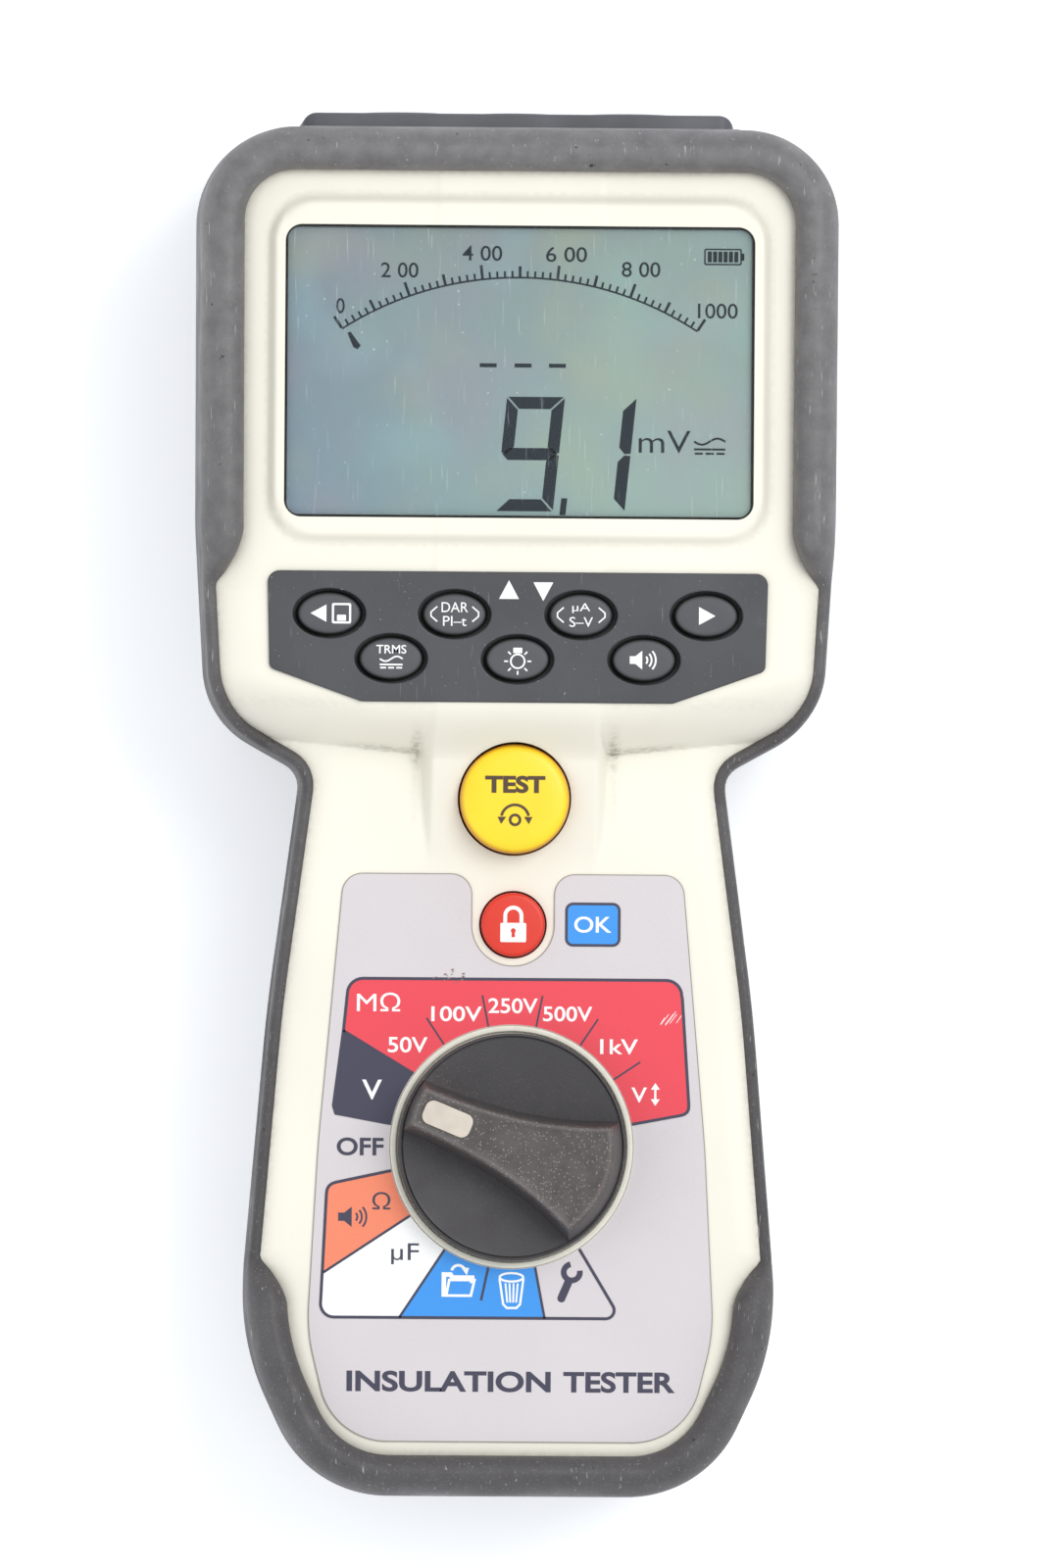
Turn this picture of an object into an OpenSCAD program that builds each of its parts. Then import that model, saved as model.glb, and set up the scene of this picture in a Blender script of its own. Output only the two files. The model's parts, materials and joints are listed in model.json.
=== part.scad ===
// Hand-held insulation resistance tester, lying on its back, display end towards +Y.
// X is across the case, Z points out of the front; the origin is under the middle.

/* [Outline] */
// Width across the rubber bumper at the head
head_w = 106.8; // [104:0.2:110]
// Widest width across the handle
handle_w = 88.4; // [86:0.2:91]
// Width of the neck under the head
neck_w = 70.6; // [69:0.2:73]
// Length over the bumper, top edge to bottom edge
case_l = 228; // [226:1:231]
// How far the terminal block stands out past the top edge
block_out = 3; // [2:0.5:4]
// Thickness of the shell walls
wall = 2.5; // [2.3:0.1:2.7]

/* [Heights] */
// Height of the rubber feet under the back
foot_h = 1.5; // [1:0.1:2]
// Height of the seam between the two shells
seam_z = 30; // [29.5:0.1:30.5]
// Height of the handle's front face
handle_z = 46; // [46:0.1:47]
// Height of the head's front face
head_z = 58; // [58:0.1:59]
// Height of the bumper's crest round the head
crest_z = 63; // [62:0.1:64]
// Height of the bumper's crest round the handle's end
tail_crest_z = 50.5; // [50:0.1:52]

/* [Bumper] */
// Width of the bumper round the head and the handle's end
bumper_w = 7.5; // [7:0.1:8]
// Width of the thin rim along the neck
rim_w = 2.4; // [2.3:0.1:2.6]
// Thickness of the rubber on the case's sides
skin = 2.2; // [2.1:0.05:2.25]

/* [Display] */
// Size of the display window, X and Y
window = [78, 48.6]; // [40:0.2:80]
// Middle of the display window along Y
window_y = 71.6; // [71:0.1:72]

/* [Controls] */
// Middle of the range knob along Y
knob_y = -57.1; // [-58:0.1:-56]
// Radius of the knob's disc
knob_r = 19.2; // [18.8:0.1:19.2]
// Direction of the knob's pointer at rest, from +X
knob_angle = 157.5; // [22.5:22.5:292.5]
// Middle of the test button along Y
test_y = 0.8; // [0.5:0.1:1]
// Radius of the test button
test_r = 9.1; // [8.5:0.1:9.1]
// Travel of the test button
test_travel = 2; // [1.5:0.1:2]
// Middle of the lock button along Y
lock_y = -20.1; // [-20.5:0.1:-20]
// Radius of the lock button
lock_r = 5.3; // [5:0.1:5.4]
// Size of the oval keys, X and Y
key_size = [10.4, 6.9]; // [6:0.1:11]
// Travel of the oval keys
key_travel = 0.8; // [0.5:0.1:0.8]

/* [Sockets] */
// Distance between neighbouring sockets
socket_pitch = 19; // [19:0.1:19.5]
// Height of the sockets' axes
socket_z = 29; // [29:0.1:30]
// Radius of the 4 mm plug's bore
plug_r = 2.0; // [2:0.01:2.02]

/* [Power] */
// Radius of an AA cell
cell_r = 7.1; // [6.9:0.05:7.2]
// Length of an AA cell with its nub
cell_l = 50.2; // [49.5:0.1:50.4]

/* [Hidden] */
$fn = 64;
top_y = case_l / 2 - block_out / 2;
bottom_y = top_y - case_l;
back_z = foot_h;            // outside of the rear shell
floor_z = 6.5;              // inside of the rear shell
lid_z = 4.0;                // ledge that the battery cover closes on
shoulder = 8;               // how far the shells' skirt stays below the faces
rubber_z = 22;              // lower edge of the rubber on the sides
board_z = 32;               // underside of the main board
board_t = 1.6;
board_top = board_z + board_t;
panel_z = 46;               // underside of the display board
glass_z = head_z - 4.1;     // underside of the display's glass
panel_top = panel_z + board_t;
gap = 0.3;                  // clearance round what moves
roof_z = handle_z + 3.4;    // inside of the test button's top
slope_y = [7.5, 16];        // foot and crest of the head's slope
platform = [32.6, 27.2, 5.2];  // test ramp: width at its foot and its top, height at its upper end
bay = [24.2, -106.4, -0.6, 20.2];  // battery bay: half width, bottom, top, ceiling
fuse_bay = [31.9, -84, -46];  // fuse bay: outer side, bottom, top
fuse_x = 28.3;
cell_z = 12.3;
cell_pitch = 15.2;
key_rows = [31.3, 23.9];
key_spots = [[-31.3, 0], [-10.5, 0], [10.5, 0], [31.3, 0], [-21, 1], [0, 1], [21, 1]];
screw_spots = [[43.4, 102], [43, 27], [28.9, -98.5]];
board_spots = [[34, 86], [34, 34], [22, -18], [22, -93]];
panel_spots = [[38.5, 39.5], [38.5, 22]];
stand_y = [32, 88];         // free end and hinge of the stand
stand_z = 4.2;              // height of the stand's hinge
stand_w = 42;
pin_r = 1.2;
shaft_r = 4.0;
block = [72, 96, 14, 44];   // terminal block: width, inner end, bottom, top

// ---- plan outlines ----

// Corners of the right half from the bottom to the top, with the radius of each.
side_corners = [
    [handle_w / 2 - 11.4, bottom_y, 20],
    [handle_w / 2, bottom_y + 24.5, 42],
    [handle_w / 2, bottom_y + 37, 60],
    [handle_w / 2 - 3.7, bottom_y + 81.5, 300],
    [neck_w / 2, bottom_y + 120.5, 4],
    [head_w / 2 - 2.1, bottom_y + 129.4, 15],
    [head_w / 2 - 0.2, top_y - 66.5, 100],
    [head_w / 2, top_y, 16]];

function unit(v) = v / norm(v);
function xy(p) = [p[0], p[1]];
function flipped(list) = [for (i = [len(list) - 1:-1:0]) [-list[i][0], list[i][1], list[i][2]]];
// The arc that rounds corner p between its neighbours a and b.
function rounded(a, p, b) =
    let (u = unit(xy(a) - xy(p)), v = unit(xy(b) - xy(p)),
        half = acos(u * v) / 2,
        start = xy(p) + u * p[2] / tan(half),
        middle = xy(p) + unit(u + v) * p[2] / sin(half),
        from = start - middle,
        turn = sign(u[0] * v[1] - u[1] * v[0]) * (2 * half - 180),
        steps = max(2, ceil(abs(turn) / 9)))
    [for (i = [0:steps]) let (a = turn * i / steps)
        middle + [from[0] * cos(a) - from[1] * sin(a), from[0] * sin(a) + from[1] * cos(a)]];
function rounded_loop(corners) = let (n = len(corners))
    [for (i = [0:n - 1]) each rounded(corners[(i + n - 1) % n], corners[i], corners[(i + 1) % n])];
// Splits long sides, so that a width may change along them.
function split(points, longest) = let (n = len(points))
    [for (i = [0:n - 1])
        let (a = points[i], b = points[(i + 1) % n], parts = max(1, ceil(norm(b - a) / longest)))
        for (k = [0:parts - 1]) a + (b - a) * k / parts];
// Each point's normal, pointing into a counter-clockwise loop.
function inward(points) = let (n = len(points))
    [for (i = [0:n - 1]) let (t = unit(points[(i + 1) % n] - points[(i + n - 1) % n])) [-t[1], t[0]]];

edge = split(rounded_loop(concat(side_corners, flipped(side_corners))), 5);
edge_in = inward(edge);
function inset(d) = [for (i = [0:len(edge) - 1]) edge[i] + edge_in[i] * d];

// Share of the full bumper at height y along the case: 0 along the neck, 1 at both ends.
function ramp(x, from, to) = min(1, max(0, (x - from) / (to - from)));
function full(y) = y > 0 ? ramp(y, 36, 44.5) : ramp(y, -76, -83);
function bumper_width(y) = rim_w + (bumper_w - rim_w) * full(y);
// Outline of the cream face inside the bumper, moved in by d.
function face(d = 0) = [for (i = [0:len(edge) - 1])
    edge[i] + edge_in[i] * (bumper_width(edge[i][1]) + d)];

// Height of the front face at y, following the slope between handle and head.
function front_z(y) = handle_z + (head_z - handle_z) * ramp(y, slope_y[0], slope_y[1]);
// Height of the bumper's crest at y.
function bumper_z(y) = y > 0
    ? front_z(y) - 0.2 + (crest_z - head_z + 0.2) * full(y)
    : handle_z - 0.2 + (tail_crest_z - handle_z + 0.2) * full(y);

// Two triangles for each cell of a grid of rings, each m points round.
function cell(i, j, k, m) = let (n = (k + 1) % m)
    [[i * m + k, j * m + k, j * m + n], [i * m + k, j * m + n, i * m + n]];

function oval(size, steps = 36) =
    [for (i = [0:steps - 1]) [size[0] / 2 * cos(360 * i / steps), size[1] / 2 * sin(360 * i / steps)]];

// ---- shared shapes ----

module slab(points, z0, z1) {
    translate([0, 0, z0]) linear_extrude(z1 - z0) polygon(points);
}

// Everything under the front faces, moved down by d.
module under_front(d) {
    rotate([90, 0, 90]) linear_extrude(2 * head_w, center = true)
        polygon([[-case_l, 0], [-case_l, handle_z - d], [slope_y[0] + d / 3, handle_z - d],
            [slope_y[1] + d / 3, head_z - d], [case_l, head_z - d], [case_l, 0]]);
}

// Block with its vertical edges rounded, on z0.
module pad(size, r, z0) {
    translate([0, 0, z0]) linear_extrude(size[2]) plate(size, r);
}

module plate(size, r) {
    x = size[0] / 2;
    y = size[1] / 2;
    polygon(rounded_loop([[x, -y, r], [x, y, r], [-x, y, r], [-x, -y, r]]));
}

module post(r, z0, z1) {
    translate([0, 0, z0]) cylinder(r = r, h = z1 - z0);
}

module mirrored(spots) {
    for (s = spots, side = [-1, 1]) translate([side * s[0], s[1], 0]) children();
}

module screw(head_r, head_h, shank_r, length) {
    difference() {
        cylinder(r = head_r, h = head_h);
        translate([0, 0, -0.1]) cylinder(r = head_r * 0.55, h = head_h * 0.6, $fn = 6);
    }
    post(shank_r, head_h, length);
}

// Round coil from radius r0 to r1 on the plane z = 0.
module coil(r0, r1, height, turns, wire_r) {
    sides = 8;
    steps = ceil(turns * 16);
    rings = [for (i = [0:steps]) let (s = i / steps, a = 360 * turns * s, r = r0 + (r1 - r0) * s)
        for (k = [0:sides - 1]) let (b = 360 * k / sides, q = r + wire_r * cos(b))
            [q * cos(a), q * sin(a), wire_r + (height - 2 * wire_r) * s + wire_r * sin(b)]];
    faces = concat(
        [[for (k = [0:sides - 1]) k]],
        [for (i = [0:steps - 1], k = [0:sides - 1]) each cell(i, i + 1, k, sides)],
        [[for (k = [sides - 1:-1:0]) steps * sides + k]]);
    polyhedron(rings, faces);
}

module key_places() {
    for (s = key_spots) translate([s[0], key_rows[s[1]], 0]) children();
}

module socket_axis(i) {
    translate([i * socket_pitch, top_y + block_out, socket_z]) rotate([90, 0, 0]) children();
}

// ---- case ----

// Skirt of the front shell behind the bumper, with its faces inside the bumper;
// t moves every side in, and starts it lower.
module front_block(t) {
    intersection() {
        slab(inset(skin + max(t, 0.05)), seam_z - t, head_z);
        under_front(shoulder + t);
    }
    intersection() {
        slab(face(max(t, 0.05)), seam_z - t, head_z);
        under_front(t);
    }
}

module front_shell() color("ivory") {
    difference() {
        union() {
            difference() {
                union() {
                    front_block(0);
                    test_ramp();
                    translate([0, window_y + 0.4, 0]) pad([84, 58.3, 2.5], 7, head_z);
                    translate([0, knob_y, 0]) post(knob_r + 1.1, handle_z - 1, handle_z + 0.9);
                }
                front_block(wall);
            }
            intersection() {
                front_block(0);
                union() {
                    mirrored(screw_spots) post(3.5, seam_z, head_z);
                    mirrored(panel_spots) post(2.6, panel_top, head_z);
                }
            }
            translate([0, knob_y, 0]) post(7, handle_z - 8, handle_z - 0.1);
        }
        mirrored(screw_spots) post(1.5, seam_z - 1, seam_z + 9);
        mirrored(panel_spots) post(1.1, panel_top - 1, panel_top + 5);
        translate([0, knob_y, 0]) post(knob_r + gap, handle_z, handle_z + 2);
        translate([0, knob_y, 0]) post(shaft_r + 0.06, seam_z, head_z);
        translate([0, test_y, 0]) post(test_r + 0.35, seam_z, head_z);
        translate([0, lock_y, 0]) post(lock_r + 0.35, seam_z, head_z);
        translate([0, window_y, 0]) pad([window[0], window[1], 10], 2.5, head_z + 0.1);
        translate([0, window_y, 0]) pad([window[0] - 0.9, window[1] - 0.9, 10], 2, head_z - 5);
        key_places() slab(oval(key_size + [0.8, 0.8]), head_z - 5, head_z + 1);
        block_cut();
    }
}

// Ramp that runs down out of the head's slope and carries the test button.
module test_ramp() {
    base = handle_z - 1;
    low = test_y - test_r - 2.2;
    foot = platform[0] / 2;
    top = platform[1] / 2;
    end_z = handle_z + platform[2];
    intersection() {
        rotate([90, 0, 90]) linear_extrude(platform[0] + 2, center = true)
            polygon([[low, base], [low, handle_z + 0.2], [slope_y[0] + 2, end_z],
                [slope_y[1] - 3, end_z + 3.2], [slope_y[1] - 2, base]]);
        rotate([90, 0, 0]) linear_extrude(60, center = true)
            polygon([[-foot, base], [-foot, handle_z], [-top, end_z], [-top, head_z],
                [top, head_z], [top, end_z], [foot, handle_z], [foot, base]]);
    }
}

// Room for the terminal block through the upper end wall.
module block_cut() {
    translate([-block[0] / 2 - 0.1, block[1] - 0.1, block[2] - 0.1])
        cube([block[0] + 0.2, 40, block[3] - block[2] + 0.2]);
}

// Rubber overmould: a half-round ridge at both ends that thins to a rim along the neck.
// Its lower edge steps up over the terminal block.
module bumper() color("dimgray") {
    arc = 6;
    loop = arc + 5;
    rings = [for (i = [0:len(edge) - 1])
        let (y = edge[i][1], w = bumper_width(y), top = bumper_z(y), r = w / 2,
            ledge = front_z(y) - shoulder + 0.05,
            low = y > top_y - 0.1 && abs(edge[i][0]) < block[0] / 2 + 1.6 ? block[3] + 0.1 : rubber_z,
            section = concat([[0, low]],
                [for (k = [0:arc]) let (a = 180 - 180 * k / arc) [r + r * cos(a), top - r + r * sin(a)]],
                [[w, ledge], [skin, ledge], [skin, low]]))
        for (q = section) [edge[i][0] + edge_in[i][0] * q[0], edge[i][1] + edge_in[i][1] * q[0], q[1]]];
    polyhedron(rings, [for (i = [0:len(edge) - 1], k = [0:loop - 1])
        each cell(i, (i + 1) % len(edge), k, loop)]);
}

module rear_shell() color("gray") {
    difference() {
        union() {
            difference() {
                union() {
                    slab(inset(4), back_z, 5);
                    slab(inset(0.8), 5, rubber_z - 0.05);
                    slab(inset(skin + 0.05), rubber_z - 0.05, seam_z);
                }
                slab(inset(skin + wall), floor_z, seam_z + 1);
            }
            bay_block(1.5);
            mirrored(screw_spots) post(3.6, floor_z - 0.1, seam_z);
            mirrored([board_spots[0], board_spots[1]]) post(3, floor_z - 0.1, board_z);
            mirrored([board_spots[2], board_spots[3]]) post(3, bay[3] + 1, board_z);
            translate([-stand_w / 2 - 5, stand_y[1] - 5, floor_z - 0.1]) cube([stand_w + 10, 9, 2.6]);
            translate([0, 5.6, 0]) post(3.4, floor_z - 0.1, 16);
        }
        bay_block(0);
        cover_shape(lid_z - back_z + 0.1, 0.3, back_z - 0.1);
        translate([0, 5.6, 0]) post(1.6, 0, 14);
        mirrored(screw_spots) post(1.7, 0, seam_z + 1);
        mirrored(screw_spots) post(3.1, 0, lid_z + 3);
        mirrored([board_spots[0], board_spots[1]]) post(1.2, board_z - 8, board_z + 1);
        mirrored([board_spots[2], board_spots[3]]) post(1.2, board_z - 8, board_z + 1);
        stand_recess();
        difference() {
            slab(inset(3), seam_z - 1, seam_z + 1);
            slab(inset(3.9), seam_z - 2, seam_z + 2);
        }
        block_cut();
    }
}

// Battery and fuse bay, grown by t into its walls.
module bay_block(t) {
    low = t > 0 ? floor_z - 0.1 : back_z - 1;
    translate([-bay[0] - t, bay[1] - t, low])
        cube([2 * (bay[0] + t), bay[2] - bay[1] + 2 * t, bay[3] + t - low]);
    translate([bay[0] - 1, fuse_bay[1] - t, low])
        cube([fuse_bay[0] - bay[0] + 1 + t, fuse_bay[2] - fuse_bay[1] + 2 * t, bay[3] + t - low]);
}

// Outline of the battery cover: the handle's own outline with a tab for its screw.
module cover_shape(t, grow, z0) {
    intersection() {
        slab(inset(8 - grow), z0, z0 + t);
        translate([-head_w, bottom_y, z0]) cube([2 * head_w, -bottom_y + 1 + grow, t]);
    }
    translate([0, 4, 0]) pad([16 + 2 * grow, 11 + 2 * grow, t], 3, z0);
}

module stand_recess() {
    w = stand_w + 2 * gap;
    translate([-w / 2, stand_y[0] - gap, back_z - 1]) cube([w, stand_y[1] - stand_y[0] + gap, 4.4]);
    translate([-w / 2, stand_y[1] - 3, back_z - 1]) cube([w, 6.2, 7.2]);
    translate([0, stand_y[0] - 3, back_z - 1]) cylinder(r = 8, h = 4.4);
    translate([-stand_w / 2 - 3, stand_y[1], stand_z]) rotate([0, 90, 0])
        cylinder(r = pin_r + 0.05, h = stand_w + 6);
}

module case_seal() color("black") {
    difference() {
        slab(inset(3.05), seam_z - 1, seam_z);
        slab(inset(3.85), seam_z - 2, seam_z + 1);
        block_cut();
    }
}

module case_screws() color("silver") {
    mirrored(screw_spots) translate([0, 0, lid_z + 0.9]) screw(2.8, 2.1, 1.4, seam_z + 8 - lid_z);
}

module rear_feet() color("black") {
    mirrored([[41, 91], [41, 37]]) post(5, 0, back_z);
    mirrored([[38.3, -78]]) pad([2.8, 16, back_z], 1.3, 0);
}

// ---- display ----

module display_lens() color("lightsteelblue", 0.5) {
    translate([0, window_y, 0]) pad([window[0] - 0.4, window[1] - 0.4, 1.2], 2.3, head_z + 0.7);
}

module lens_gasket() color("black") {
    difference() {
        translate([0, window_y, 0]) pad([window[0] - 0.4, window[1] - 0.4, 0.6], 2.3, head_z + 0.1);
        translate([0, window_y, 0]) pad([window[0] - 0.9, window[1] - 0.9, 2], 2, head_z - 0.5);
    }
}

// Two glass plates: the lower one carries the contacts, the upper one fills the window.
module lcd_glass() color("darkseagreen") {
    translate([-40, window_y - 26, glass_z]) cube([80, 52, 1.4]);
    translate([0, window_y, 0]) pad([window[0] - 1.3, window[1] - 1.3, head_z - glass_z - 1], 1.8, glass_z + 1);
}

module lcd_holder() color("white") {
    difference() {
        translate([-42.6, window_y - 28.4, panel_top]) cube([85.2, 56.8, 7.8]);
        translate([-40.1, window_y - 26.1, panel_top - 1]) cube([80.2, 52.2, 12]);
        mirrored(screw_spots) post(4.1, panel_top - 1, head_z);
    }
}

module backlight() color("whitesmoke") {
    translate([-39, window_y - 26, panel_top + 0.4]) cube([78, 48, glass_z - panel_top - 0.5]);
}

module zebra_strips() color("hotpink") {
    for (y = [22.6, 24.6]) translate([-36, window_y + y, panel_top]) cube([72, 1.2, glass_z - panel_top]);
}

module display_board() color("darkgreen") {
    difference() {
        translate([-42.6, 18.5, panel_z]) cube([85.2, 82.5, board_t]);
        mirrored(panel_spots) post(1.2, panel_z - 1, panel_top + 1);
        mirrored([screw_spots[1], screw_spots[0]]) post(4.1, panel_z - 1, panel_top + 1);
    }
}

module board_header() color("black") {
    translate([-20, 19.5, board_top]) cube([40, 5, panel_z - board_top]);
}

// ---- keys ----

module key_panel() color("dimgray") {
    outline = rounded_loop([[24.4, 16.6, 1.5], [41, 24.4, 1.2], [41.6, 38.4, 2],
        [-41.6, 38.4, 2], [-41, 24.4, 1.2], [-24.4, 16.6, 1.5]]);
    difference() {
        slab(outline, head_z, head_z + 0.7);
        key_places() slab(oval(key_size + [1.7, 1.3]), head_z - 1, head_z + 2);
    }
}

module keypad_mat() color("darkslategray") {
    difference() {
        translate([-37.5, 19.4, head_z - wall - 0.6]) cube([75, 16.6, 0.6]);
        key_places() slab(oval(key_size + [0.8, 0.8]), head_z - 5, head_z);
        mirrored([panel_spots[1]]) post(3, head_z - 5, head_z);
    }
}

module key_domes() color("gold") {
    key_places() post(3, panel_top, panel_top + 0.4);
}

module one_key(i) color("dimgray") {
    translate([key_spots[i][0], key_rows[key_spots[i][1]], 0]) {
        slab(oval(key_size), head_z - 4.7, head_z + 1.3);
        slab(oval(key_size + [2, 2]), head_z - 4.7, head_z - 3.5);
        post(1.5, panel_top + 0.4 + key_travel + gap, head_z - 4.6);
    }
}

// ---- faces ----

module front_label() color("lightgray") {
    notch = 6.8;
    half = [28.3, 32.6, 34, 22];
    right = [[half[3], -106, 16], [half[2], -89, 16], [half[1], -57, 200], [half[0], -11.6, 3.5],
        [notch, -11.6, 3.5], [notch, lock_y - notch, notch - 0.01]];
    difference() {
        slab(rounded_loop(concat(right, flipped(right))), handle_z, handle_z + 0.3);
        translate([0, knob_y, 0]) post(knob_r + 1.3, handle_z - 1, handle_z + 1);
    }
}

module rating_plate() color("silver") {
    translate([0, -45, 0]) pad([46, 34, 0.2], 2, back_z - 0.2);
}

// ---- boards and what they carry ----

module main_board() color("green") {
    difference() {
        slab(inset(6.6), board_z, board_top);
        mirrored(screw_spots) post(4.1, board_z - 1, board_top + 1);
        mirrored(board_spots) post(1.3, board_z - 1, board_top + 1);
        block_cut();
    }
}

module board_chips() color("black") {
    for (c = [[-12, 40, 14, 14], [12, 42, 10, 10], [-24, -31, 8, 12], [24, -82, 7, 7]])
        translate([c[0] - c[2] / 2, c[1] - c[3] / 2, board_top]) cube([c[2], c[3], 1.8]);
}

module board_relays() color("royalblue") {
    for (x = [-33, -19]) translate([x - 5, 56, board_top]) cube([10, 20, 10]);
}

module hv_transformer() color("darkgoldenrod") {
    translate([14, 54, board_top]) cube([22, 18, 2]);
    translate([16, 56, board_top + 2]) cube([18, 14, 9]);
}

module hv_capacitors() color("orange") {
    for (x = [-6, 4]) translate([x, 66, 0]) post(4.5, board_top, board_top + 11);
}

module buzzer() color("black") {
    translate([30, 45, 0]) difference() {
        post(7, board_top, board_top + 7);
        post(1.2, board_top + 5, board_top + 8);
    }
}

module board_screws() color("silver") {
    mirrored(board_spots) translate([0, 0, board_top + 1.5]) rotate([180, 0, 0]) screw(2.4, 1.5, 1.1, 8);
    mirrored(panel_spots) translate([0, 0, panel_z - 1.3]) screw(2.2, 1.3, 1, 6);
}

module test_switch() color("black") {
    translate([0, test_y, 0]) {
        pad([13, 13, 5], 1, board_top);
        post(1.6, board_top + 5, board_top + 5.2);
    }
}

module lock_switch() color("black") {
    translate([0, lock_y, 0]) {
        pad([6.2, 6.2, 4.2], 0.5, board_top);
        post(1.4, board_top + 4.2, board_top + 4.6);
    }
}

// ---- terminals ----

module terminal_block() color("darkslategray") {
    width = block[0];
    depth = top_y + block_out - block[1];
    difference() {
        intersection() {
            translate([0, block[1], (block[2] + block[3]) / 2]) rotate([-90, 0, 0])
                linear_extrude(depth) plate([width, block[3] - block[2]], 2.5);
            translate([0, block[1] + depth / 2, 0]) pad([width, depth, 60], 2.5, 0);
        }
        for (i = [-1, 1]) socket_axis(i) translate([0, 0, -1]) cylinder(r = 6.2, h = 40);
        socket_axis(0) translate([0, 0, -1]) cylinder(r = 5.4, h = 40);
    }
}

// Shrouded insert for one 4 mm safety plug.
module socket_insert() {
    length = top_y + block_out - block[1];
    difference() {
        translate([0, 0, 0.2]) cylinder(r = 6.15, h = length - 0.2);
        difference() {
            translate([0, 0, -1]) cylinder(r = 5.5, h = length - 1);
            translate([0, 0, 2]) cylinder(r = 3.4, h = length);
        }
        translate([0, 0, -1]) cylinder(r = 2.6, h = length + 4);
    }
}

module socket_negative() color("black") socket_axis(-1) socket_insert();

module socket_positive() color("red") socket_axis(1) socket_insert();

module probe_socket() color("black") {
    length = top_y + block_out - block[1];
    socket_axis(0) difference() {
        translate([0, 0, 0.6]) cylinder(r = 5.35, h = length - 0.6);
        difference() {
            translate([0, 0, 0]) cylinder(r = 4.4, h = 8);
            translate([0, 0, 2]) cylinder(r = 3.2, h = 8);
        }
        for (a = [90, 210, 330]) rotate(a) translate([1.7, 0, 0]) cylinder(r = 0.5, h = 10);
    }
}

module socket_contacts() color("gold") {
    length = top_y + block_out - block[1];
    for (i = [-1, 1]) socket_axis(i) difference() {
        translate([0, 0, 2.2]) cylinder(r = 2.55, h = length + 1.4);
        translate([0, 0, 1]) cylinder(r = plug_r, h = 20.2);
    }
}

// ---- power ----

module battery_cells() color("goldenrod") {
    for (x = [-1:1], row = [0, 1])
        translate([x * cell_pitch, bay[2] - 2 - row * (cell_l + 0.8), cell_z])
            rotate([x == 0 ? -90 : 90, 0, 0]) translate([0, 0, x == 0 ? -cell_l : 0]) {
                translate([0, 0, 1]) cylinder(r = cell_r, h = cell_l - 1);
                cylinder(r = 2.7, h = 1.1);
            }
}

module battery_contacts() color("silver") {
    for (x = [-1:1], y = [bay[2] - 0.5, bay[1] + 0.05])
        translate([x * cell_pitch - 6, y, cell_z - 6]) cube([12, 0.4, 12]);
}

module battery_springs() color("silver") {
    for (x = [-1:1]) {
        top = x == 0;
        translate([x * cell_pitch, top ? bay[2] - 0.55 : bay[1] + 0.5, cell_z])
            rotate([top ? 90 : -90, 0, 0]) coil(5, 3.4, top ? 1.4 : 1.9, 2, 0.35);
    }
}

module fuse() color("wheat") {
    translate([fuse_x, fuse_bay[1] + 5, cell_z]) rotate([-90, 0, 0]) {
        cylinder(r = 3.15, h = 6.4);
        translate([0, 0, 6.4]) cylinder(r = 2.9, h = 19.2);
        translate([0, 0, 25.6]) cylinder(r = 3.15, h = 6.4);
    }
}

module fuse_clips() color("silver") {
    for (y = [fuse_bay[1] + 6, fuse_bay[1] + 31.4]) difference() {
        translate([fuse_x - 3.5, y, cell_z - 2]) cube([7, 4.6, bay[3] - cell_z + 2]);
        translate([fuse_x, y - 1, cell_z]) rotate([-90, 0, 0]) cylinder(r = 3.2, h = 7);
        translate([fuse_x - 3.2, y - 1, cell_z - 4]) cube([6.4, 7, 4]);
    }
}

// ---- knob ----

module at_knob() {
    translate([0, knob_y, 0]) rotate(knob_angle) children();
}

// Half width of the grip bar at u along the pointer: narrow at the tip, flared at the tail.
function grip(u) = 3.4 + 7.0 * pow((18.2 - u) / 34.4, 2.4);

module range_knob() color("dimgray") {
    us = [for (i = [0:12]) 18.2 - i * 34.4 / 12];
    disc_z = handle_z + 4.6;
    at_knob() {
        difference() {
            post(knob_r, handle_z + 0.6, disc_z + 0.4);
            difference() {
                post(knob_r - 1, disc_z - 0.6, disc_z + 2);
                post(2.5, disc_z - 2, disc_z + 3);
            }
        }
        intersection() {
            slab(concat([for (u = us) [u, -grip(u)]], [for (i = [12:-1:0]) [us[i], grip(us[i])]]),
                disc_z - 0.7, disc_z + 8.4);
            post(knob_r - 0.8, 0, disc_z + 10);
        }
        post(shaft_r, board_top + 0.4, handle_z + 0.7);
    }
}

module knob_marker() color("white") {
    at_knob() translate([12, 0, 0]) pad([7.8, 3.8, 0.2], 1.2, handle_z + 13);
}

module knob_clip() color("silver") {
    difference() {
        translate([0, knob_y, 0]) post(6.2, 36.8, 37.6);
        translate([0, knob_y, 0]) post(shaft_r, 36, 38);
        at_knob() translate([0, -2, 36]) cube([8, 4, 3]);
    }
}

module switch_rotor() color("white") {
    at_knob() difference() {
        union() {
            post(14.6, board_top + 1.5, board_top + 3);
            for (side = [-1, 1]) translate([side * 14, 0, 0]) post(1.2, board_top + 1.5, board_top + 3);
        }
        post(shaft_r, board_top, board_top + 4);
    }
}

module wiper_contacts() color("gold") {
    at_knob() for (a = [0, 120, 240]) rotate(a)
        translate([7, -1, board_top + 0.4]) cube([6, 2, 1.1]);
}

module detent_ring() color("white") {
    translate([0, knob_y, 0]) difference() {
        post(18, board_top, board_top + 3);
        post(15.7, board_top - 1, board_top + 4);
        for (i = [0:12]) rotate(22.5 * (i + 1)) translate([15.7, 0, 0])
            post(0.8, board_top - 1, board_top + 4);
    }
}

// ---- push buttons ----

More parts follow.
